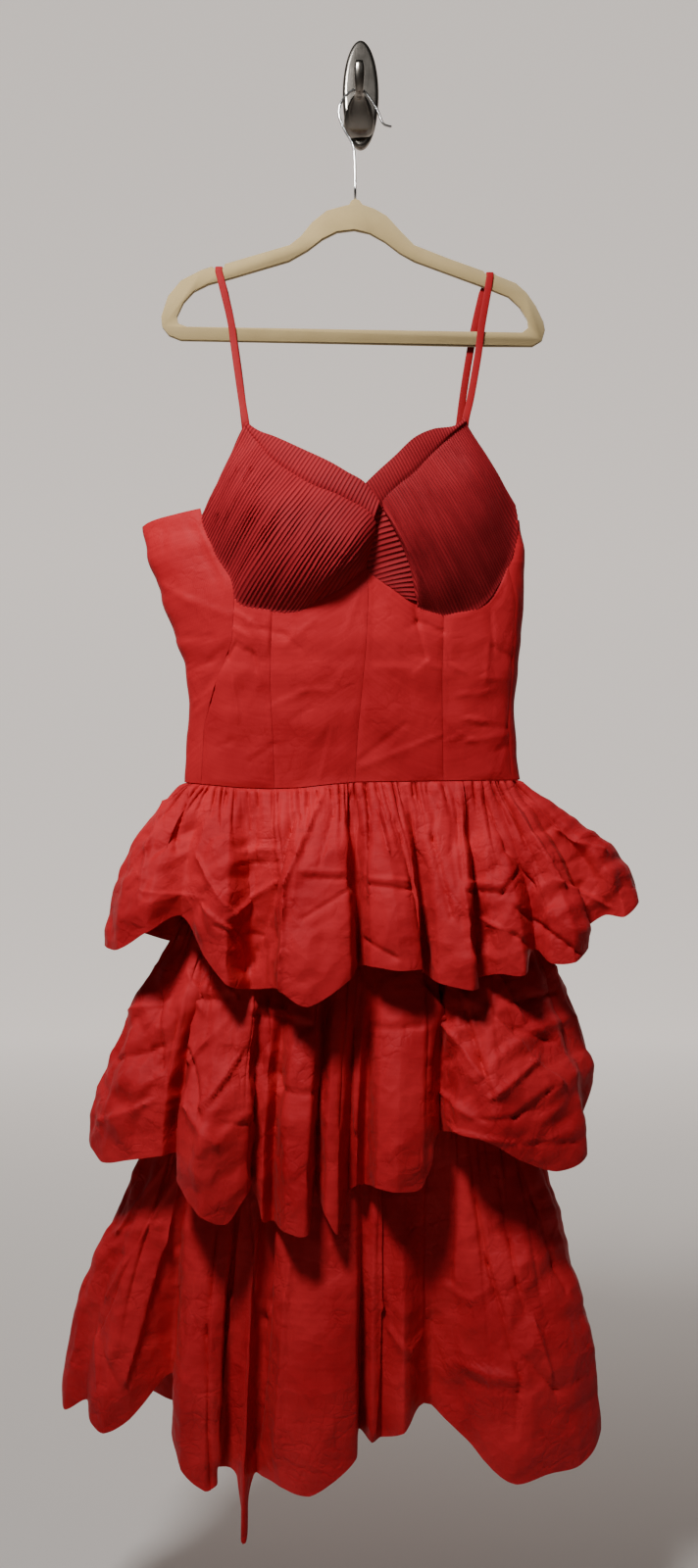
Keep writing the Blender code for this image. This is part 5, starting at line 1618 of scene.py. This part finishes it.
@dataclass
class Cups:
    """The pleated cups, their neckline bands and the small fan between them."""

    material: bpy.types.Material
    pleats: int = 52
    band_pleats: int = 42
    fan_pleats: int = 20
    per_pleat: int = 8
    rows: int = 44
    band_rows: int = 14
    fan_columns: int = 24
    right_pleat_height: float = 1.5
    left_pleat_height: float = 2.1
    dome: float = 21.5
    tuck: float = 1.6
    tuck_depth: float = 1.2
    foot_tuck: float = 7.0
    unevenness: float = 1.6
    band_lap: float = 2.2
    band_pleat_height: float = 0.9
    band_dome: float = 1.5
    fan_pleat_height: float = 1.8
    fan_dome: float = 2.0
    cup_thickness: float = 0.5
    band_thickness: float = 0.8
    fan_thickness: float = 0.6

    # A knife pleat's shares: its slow rise and its fast drop.
    RISE = 0.72
    DROP = 0.28
    # How the pleats wander, stand open between their ends and differ in height.
    WANDER = 0.3
    WANDER_ACROSS = 14.0
    WANDER_DOWN = 3.0
    WANDER_SEED = 7
    CLOSED_HEIGHT = 0.35
    OPEN_HEIGHT = 0.65
    UNEVEN = 0.6
    UNEVEN_PLEATS = 2.5
    UNEVEN_DOWN = 3.0
    UNEVEN_SEED = 11
    LUMP_SEED = 13
    # The foot is tucked in less from its armhole corner on.
    FOOT_EASE = 0.5
    FOOT_EASE_OVER = 0.3
    BAND_TUCK_FROM = 0.85
    BAND_TUCK_OVER = 0.15
    FAN_LENGTH = (0.03, 0.98)
    FAN_WIDTH = (0.02, 0.98)
    FAN_PER_PLEAT = 10
    FAN_CLOSED = 0.3
    FAN_OPEN = 0.7
    LEAST_CUP_RUN = 12.0
    LEAST_BAND_RUN = 8.0
    LEAST_FLAT = 0.0101
    LUMP_SIZE = 45

    def pleat(self, u: Numbers, count: int) -> Numbers:
        """Return knife pleats: each rises slowly and drops fast."""
        part = (u * count) % 1.0
        return np.where(part < self.RISE, part / self.RISE, (1 - part) / self.DROP)

    def cup(self, name: str, upper: Sequence[Spot], foot: Sequence[EdgeSpot],
            pleating: Sequence[Pleating], height: float) -> None:
        """Make one cup, whose pleats run down and out from its fold and its inner edge.

        Args:
            name: The cup's node.
            upper: Its fold and inner edge, from the strap's corner to the lowest inner corner.
            foot: Its lower edge on the bodice, from the armhole to that corner.
            pleating: How its pleats are spread over both.
            height: How high its pleats stand.
        """
        u = np.linspace(0.0, 1.0, self.pleats * self.per_pleat + 1)
        v = np.linspace(0.0, 1.0, self.rows)[:, None]
        spread = np.array(pleating, float)
        start = even_spline(upper, np.interp(u, spread[:, 0], spread[:, 1]))
        end = even_spline(on_bodice(foot), np.interp(u, spread[:, 0], spread[:, 2]))
        run = np.maximum(np.linalg.norm(end - start, axis=1), self.LEAST_CUP_RUN)
        under = self.foot_tuck * (1 - self.FOOT_EASE * smooth(u / self.FOOT_EASE_OVER))
        share = v * (1 + (self.tuck + under) / run) - self.tuck / run
        points = start + share[..., None] * (end - start)
        middle = np.clip(share, 0.0, 1.0)
        bulge = np.sin(np.pi * middle) * (1 - np.abs(2 * u - 1) ** 3)
        points[..., 1] += self.tuck_depth * smooth(-share * run / self.tuck) - self.dome * bulge
        wander = Noise(self.WANDER_SEED).at(u * self.WANDER_ACROSS, v * self.WANDER_DOWN)
        drift = wander * self.WANDER / self.pleats
        open_out = self.CLOSED_HEIGHT + self.OPEN_HEIGHT * np.sin(np.pi * middle) ** 0.5
        runs = Noise(self.UNEVEN_SEED).at(u * self.pleats / self.UNEVEN_PLEATS, v * self.UNEVEN_DOWN)
        uneven = 1 + self.UNEVEN * runs
        crests = self.pleat(u + drift, self.pleats)
        relief = height * crests * open_out * uneven
        lumps = Noise(self.LUMP_SEED).at(points[..., 0] / self.LUMP_SIZE, points[..., 2] / self.LUMP_SIZE)
        relief += self.unevenness * lumps
        # The crests also go to the material, which paints shade in the pleats' hollows from them.
        made = Piece(name, self.material, Slot.CUP_CLOTH, self.cup_thickness).build(
            points + relief[..., None] * grid_normals(points), crests)

    def band(self, name: str, neck: Sequence[Spot], fold: Sequence[Spot]) -> None:
        """Make the narrow pleated band along one cup's neckline, tucked under the cup's fold.

        Args:
            name: The band's node.
            neck: Its neckline edge.
            fold: The cup's fold along it.
        """
        u = np.linspace(0.0, 1.0, self.band_pleats * self.per_pleat + 1)
        v = np.linspace(0.0, 1.0, self.band_rows)[:, None]
        start = even_spline(neck, u)
        end = even_spline(fold, u)
        over = self.band_lap / np.maximum(np.linalg.norm(end - start, axis=1), self.LEAST_BAND_RUN)
        share = v * (1 + over)
        points = start + share[..., None] * (end - start)
        tucked = smooth((share - self.BAND_TUCK_FROM) / self.BAND_TUCK_OVER)
        points[..., 1] += self.tuck * tucked - self.band_dome * np.sin(np.pi * v)
        crests = self.pleat(u, self.band_pleats)[None, :]
        relief = self.band_pleat_height * crests * (0.5 + 0.5 * np.sin(np.pi * v))
        made = Piece(name, self.material, Slot.CUP_CLOTH, self.band_thickness).build(
            points + relief[..., None] * grid_normals(points), crests)

    def fan(self) -> None:
        """Make the small fan of pleats under the crossing of the bands."""
        v = np.linspace(*self.FAN_LENGTH, self.fan_pleats * self.FAN_PER_PLEAT + 1)
        u = np.linspace(*self.FAN_WIDTH, self.fan_columns)[None, :, None]
        start = even_spline(FAN_INNER, v)[:, None, :]
        end = even_spline(FAN_OUTER, v)[:, None, :]
        points = start + u * (end - start)
        points[..., 1] -= self.fan_dome * np.sin(np.pi * u[..., 0])
        crests = self.pleat(v, self.fan_pleats)[:, None]
        relief = self.fan_pleat_height * crests * (self.FAN_CLOSED + self.FAN_OPEN * u[..., 0])
        made = Piece("centre_fan", self.material, Slot.CUP_CLOTH, self.fan_thickness).build(
            points + relief[..., None] * grid_normals(points), crests)
        widths = np.linalg.norm(points[:, -1] - points[:, 0], axis=1)

    def build(self) -> None:
        """Make every piece of the bust."""
        self.cup("cup_right", (*FOLD_RIGHT, CUP_CENTRE_RIGHT), CUP_FOOT_RIGHT, PLEATING_RIGHT,
                 self.right_pleat_height)
        self.cup("cup_left", (*FOLD_LEFT, *CUP_INNER_LEFT[1:]), CUP_FOOT_LEFT, PLEATING_LEFT,
                 self.left_pleat_height)
        self.band("cup_band_right", NECK_RIGHT, FOLD_RIGHT)
        self.band("cup_band_left", (*NECK_LEFT, *NECK_LEFT_UNDER), (*FOLD_LEFT, *FOLD_LEFT_UNDER))
        self.fan()


class Lamp(NamedTuple):
    """A soft square light: where it hangs, its side in metres and its watts."""

    name: str
    place: tuple[float, float, float]
    size: float
    power: float


@dataclass
class Studio:
    """The floor, the light and the camera, in metres."""

    lamps: tuple[Lamp, ...] = (
        Lamp("key", (-0.5, -0.95, 0.5), 0.3, 42.0),
        Lamp("fill", (0.9, -2.4, 0.9), 1.6, 1.2),
    )
    lit_place: tuple[float, float, float] = (0.0, -0.05, -0.85)
    air_colour: Colour = (0.80, 0.77, 0.75)
    air_light: float = 0.045
    floor_colour: Colour = (0.62, 0.59, 0.56)
    # The glow's colour: painted light on the floor behind the dress and on the backdrop, which are no
    # lamps.
    glow_colour: Colour = (1.0, 0.91, 0.845)
    floor_z: float = -1.86
    floor_size: float = 24.0
    backdrop_y: float = 6.0
    backdrop_height: float = 9.0
    backdrop_bend: float = 2.5
    bend_steps: int = 24
    # How bright the painted glow is, where along the floor it starts to rise and over how far.
    backdrop_glow: float = 0.74
    glow_from: float = 5.9
    glow_over: float = 3.4
    camera_place: tuple[float, float, float] = (-0.014, -1.418, -0.829)
    lens: float = 27.0

    def sweep(self) -> None:
        """Lay a plain pale floor that curves up into a plain backdrop far behind the dress; the floor
        behind the dress and the backdrop glow as painted light.
        """
        bpy.ops.object.select_all(action="DESELECT")
        bpy.ops.mesh.primitive_plane_add(size=self.floor_size, location=(
            0.0, self.backdrop_y - self.floor_size / 2, self.floor_z))
        made = bpy.context.object
        made.name = "backdrop"
        bpy.ops.object.mode_set(mode="EDIT")
        bpy.ops.mesh.select_all(action="DESELECT")
        bpy.ops.object.mode_set(mode="OBJECT")
        for vertex in made.data.vertices:
            vertex.select = vertex.co.y > 0
        for edge in made.data.edges:
            edge.select = all(made.data.vertices[index].select for index in edge.vertices)
        bpy.ops.object.mode_set(mode="EDIT")
        bpy.ops.mesh.extrude_region_move(
            TRANSFORM_OT_translate={"value": (0.0, 0.0, self.backdrop_height)})
        bpy.ops.object.mode_set(mode="OBJECT")
        bend = made.modifiers.new("bend", "BEVEL")
        bend.width = self.backdrop_bend
        bend.segments = self.bend_steps
        bpy.ops.object.modifier_apply(modifier=bend.name)
        bpy.ops.object.shade_smooth()
        shader = Shader("pale_glowing_backdrop", Base_Color=(*self.floor_colour, 1.0), Roughness=0.9,
                        Specular_IOR_Level=0.1, Emission_Strength=self.backdrop_glow)
        # Painted light: the glow rises along the floor from just behind the dress and covers the backdrop,
        # so it also lightens the dress's shadow on the floor.
        back = shader.axes(shader.place("Object"))[1]
        far = ((back - self.glow_from) * (1 / self.glow_over)).clamp()
        shader.feed("Emission Color", shader.mix(far, (0.0, 0.0, 0.0, 1.0), (*self.glow_colour, 1.0)))
        made.data.materials.append(shader.material)

    def hang(self, lamp: Lamp) -> None:
        """Hang one soft square light that faces the dress.

        Args:
            lamp: The light.
        """
        light = bpy.data.lights.new(lamp.name, "AREA")
        light.size = lamp.size
        light.energy = lamp.power
        made = add_object(lamp.name, light)
        made.location = lamp.place
        aim = np.array(self.lit_place) - np.array(lamp.place)
        made.rotation_euler = Vector(aim).to_track_quat("-Z", "Y").to_euler()

    def build(self) -> None:
        """Make the stage, the lights and the camera."""
        self.sweep()
        world = bpy.context.scene.world or bpy.data.worlds.new("world")
        bpy.context.scene.world = world
        world.use_nodes = True
        air = world.node_tree.nodes["Background"]
        air.inputs["Color"].default_value = (*self.air_colour, 1.0)
        air.inputs["Strength"].default_value = self.air_light
        for lamp in self.lamps:
            self.hang(lamp)
        lens = bpy.data.cameras.new("camera")
        lens.lens = self.lens
        camera = add_object("camera", lens)
        camera.location = self.camera_place
        camera.rotation_euler = (math.pi / 2, 0.0, 0.0)
        bpy.context.scene.camera = camera


@dataclass
class Straps:
    """The two narrow shoulder straps."""

    material: bpy.types.Material
    width: float = 8.5
    thickness: float = 1.2
    sides: int = 12
    samples: int = 60

    # How square the strap's edges and faces are: a round cord would have 1.
    EDGE_ROUNDNESS = 0.5
    FACE_ROUNDNESS = 0.7
    LEAST_FLAT = 0.0101

    def strap(self, name: str, front: Sequence[Spot], top: Spot, back: Sequence[Spot]) -> None:
        """Make one strap from the cup's corner over the hanger to the back.

        Args:
            name: The strap's node.
            front: Its route up the front.
            top: The hanger's step.
            back: Its route down the back.
        """
        lift = self.thickness / 2 + SEAM_GAP
        reach = HANGER_THICKNESS / 2 + lift
        crest = [(reach, -4.0), (reach - 0.4, 0.2), (1.6, lift + 0.4)]
        route = list(spline(front, np.linspace(0, len(front) - 1, self.samples)))
        route += [np.array([top.x, HANGER_Y - out, top.z + rise]) for out, rise in crest]
        route += [np.array([top.x, HANGER_Y + out, top.z + rise]) for out, rise in crest[::-1]]
        route += list(spline(back, np.linspace(0, len(back) - 1, self.samples)))
        centres = np.array(route)
        heading = np.gradient(centres, axis=0)
        heading /= np.linalg.norm(heading, axis=1, keepdims=True)
        across = np.array([1.0, 0.0, 0.0]) - heading * heading[:, :1]
        across /= np.linalg.norm(across, axis=1, keepdims=True)
        through = np.cross(across, heading)
        angle = 2 * np.pi * np.arange(self.sides) / self.sides
        flat = self._squared(np.cos(angle), self.EDGE_ROUNDNESS) * self.width / 2
        thick = self._squared(np.sin(angle), self.FACE_ROUNDNESS) * self.thickness / 2
        rings = (centres[:, None, :] + flat[None, :, None] * across[:, None, :]
                 + thick[None, :, None] * through[:, None, :])
        count = len(centres)
        number = np.arange(count * self.sides).reshape(count, self.sides)
        onward = np.roll(number, -1, axis=1)
        quads = np.stack([number[:-1], number[1:], onward[1:], onward[:-1]], axis=-1).reshape(-1, 4)
        faces = quads.tolist() + [number[0].tolist(), number[-1][::-1].tolist()]
        mesh = bpy.data.meshes.new(name)
        mesh.from_pydata((rings.reshape(-1, 3) * MM).tolist(), [], faces)
        run = running_length(centres)
        flat_uv = np.stack(np.broadcast_arrays(flat[None, :], -run[:, None]), axis=-1).reshape(-1, 2) * MM
        corners = np.zeros(len(mesh.loops), np.int32)
        mesh.loops.foreach_get("vertex_index", corners)
        spread = flat_uv[corners].astype(np.float32)
        mesh.uv_layers.new(name="cloth").data.foreach_set("uv", spread.ravel())
        mesh.shade_smooth()
        mesh.materials.append(self.material)
        made = add_object(name + "_cloth", mesh)
        select_only(made)
        bpy.ops.object.mode_set(mode="EDIT")
        bpy.ops.mesh.select_all(action="SELECT")
        bpy.ops.mesh.normals_make_consistent(inside=False)
        bpy.ops.object.mode_set(mode="OBJECT")
        stand_for(made, name)

    @staticmethod
    def _squared(values: Numbers, roundness: float) -> Numbers:
        """Return a circle's sines or cosines, pushed out towards a square's."""
        return np.sign(values) * np.abs(values) ** roundness

    def build(self) -> None:
        """Make both straps."""
        self.strap("strap_right", STRAP_RIGHT_FRONT, STRAP_RIGHT_TOP, STRAP_RIGHT_BACK)
        self.strap("strap_left", STRAP_LEFT_FRONT, STRAP_LEFT_TOP, STRAP_LEFT_BACK)


@dataclass
class Hardware:
    """The hanger and the wall hook, whose solids are smoothed."""

    nodes: dict
    plate_width: float = 43.7
    plate_height: float = 131.0
    plate_depth: float = 7.0
    plate_sides: int = 96
    edge_radius: float = 5.5
    edge_steps: int = 10
    hanger_rounding: float = 2.0
    rounding_steps: int = 5
    sharp_angle: float = 50.0
    rounded_angle: float = 60.0

    JOIN_WITHIN = 1e-5

    def finish(self, made: bpy.types.Object, node: str,
               material: bpy.types.Material) -> None:
        """Smooth a piece and give it its finish and its node's place.

        Args:
            made: The piece.
            node: The node that it replaces.
            material: Its finish.
        """
        made.data.shade_smooth()
        made.data.set_sharp_from_angle(angle=math.radians(self.sharp_angle))
        made.data.materials.clear()
        made.data.materials.append(material)
        stand_for(made, node)

    def copy(self, node: str, slot: Slot, material: bpy.types.Material,
             rounding: float = 0.0) -> None:
        """Make a smooth copy of a solid, whose loose triangles are joined first.

        Args:
            node: The solid's node.
            slot: The record's slot for its material; not used.
            material: Its finish.
            rounding: How far its edges are rounded, in millimetres.
        """
        mesh = self.nodes[node].data.copy()
        form = bmesh.new()
        form.from_mesh(mesh)
        bmesh.ops.remove_doubles(form, verts=form.verts, dist=self.JOIN_WITHIN)
        if rounding:
            bmesh.ops.dissolve_limit(form, angle_limit=math.radians(1), verts=form.verts,
                                     edges=form.edges)
        form.to_mesh(mesh)
        form.free()
        made = add_object(node + "_form", mesh)
        if rounding:
            select_only(made)
            edge = made.modifiers.new("edge", "BEVEL")
            edge.width = rounding * MM
            edge.segments = self.rounding_steps
            edge.angle_limit = math.radians(self.rounded_angle)
            edge.use_clamp_overlap = False
            bpy.ops.object.modifier_apply(modifier=edge.name)
        self.finish(made, node, material)

    def plate(self, material: bpy.types.Material) -> None:
        """Make the oval wall plate with its broad rounded front edge.

        Args:
            material: Its finish.
        """
        bpy.ops.object.select_all(action="DESELECT")
        bpy.ops.mesh.primitive_cylinder_add(
            vertices=self.plate_sides, radius=0.5, depth=self.plate_depth * MM,
            location=(0.0, -self.plate_depth / 2 * MM, 0.0), rotation=(math.pi / 2, 0.0, 0.0))
        made = bpy.context.object
        made.name = "wall_plate_form"
        made.scale = (self.plate_width * MM, self.plate_height * MM, 1.0)
        bpy.ops.object.transform_apply(location=True, rotation=True, scale=True)
        bpy.ops.object.mode_set(mode="EDIT")
        bpy.ops.mesh.select_all(action="DESELECT")
        bpy.ops.mesh.select_mode(type="FACE")
        bpy.ops.object.mode_set(mode="OBJECT")
        for face in made.data.polygons:
            face.select = face.normal.y < -0.9
        bpy.ops.object.mode_set(mode="EDIT")
        bpy.ops.mesh.region_to_loop()
        bpy.ops.mesh.bevel(offset=self.edge_radius * MM, segments=self.edge_steps, affect="EDGES")
        bpy.ops.object.mode_set(mode="OBJECT")
        self.finish(made, "wall_plate", material)

    def build(self) -> None:
        """Make the metal's forms and give the hanger its flock."""
        nickel = Metal("brushed_nickel", (0.27, 0.245, 0.215), roughness=0.2, grain_depth=0.00003).make()
        chrome = Metal("chrome_wire", (0.74, 0.73, 0.72), roughness=0.12, grain_depth=0.00001).make()
        self.plate(nickel)
        self.copy("wall_hook_arm", Slot.NICKEL, nickel)
        self.copy("hanger_hook", Slot.WIRE, chrome)
        self.copy("hanger_body", Slot.FLOCK, Flock().make(), self.hanger_rounding)


def main() -> None:
    """Build the dress and its stage."""
    logging.basicConfig(level=logging.INFO, format="%(message)s")
    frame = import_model()
    bpy.ops.object.select_all(action="DESELECT")
    taffeta = Taffeta().make()
    pressed = Taffeta("pressed_taffeta", crease_depth=0.0011).make()
    # The straps get a darker copy of the taffeta: painted shade, which tones down the strong key light
    # that falls on them.
    narrow = Taffeta("shaded_strap_taffeta", light=(0.30, 0.012, 0.015), deep=(0.23, 0.007, 0.010),
                     crease_depth=0.0003).make()
    pleated = PleatedCloth().make()
    parts = (
        Hardware(frame["nodes"]), Bodice(pressed), Cups(pleated), Straps(narrow),
        Tier(1, TIER1_FRONT, TIER1_BACK, Flare(0.75, 1.15), seam_z=None, creases=TIER1_CREASES,
             rumples=RUMPLES_1, wander=0.22, material=taffeta),
        Tier(2, TIER2_FRONT, TIER2_BACK, Flare(1.15, 1.25), seam_z=-985.0, creases=TIER2_CREASES,
             rumples=RUMPLES_2, wander=0.28, material=taffeta),
        Tier(3, TIER3_FRONT, TIER3_BACK, Flare(1.45, 1.45), seam_z=-1185.0, creases=TIER3_CREASES,
             rumples=RUMPLES_3, wander=0.12, material=taffeta),
        Studio(),
    )
    for part in parts:
        part.build()
        LOG.info("built %s", type(part).__name__)


if __name__ == "__main__":
    main()
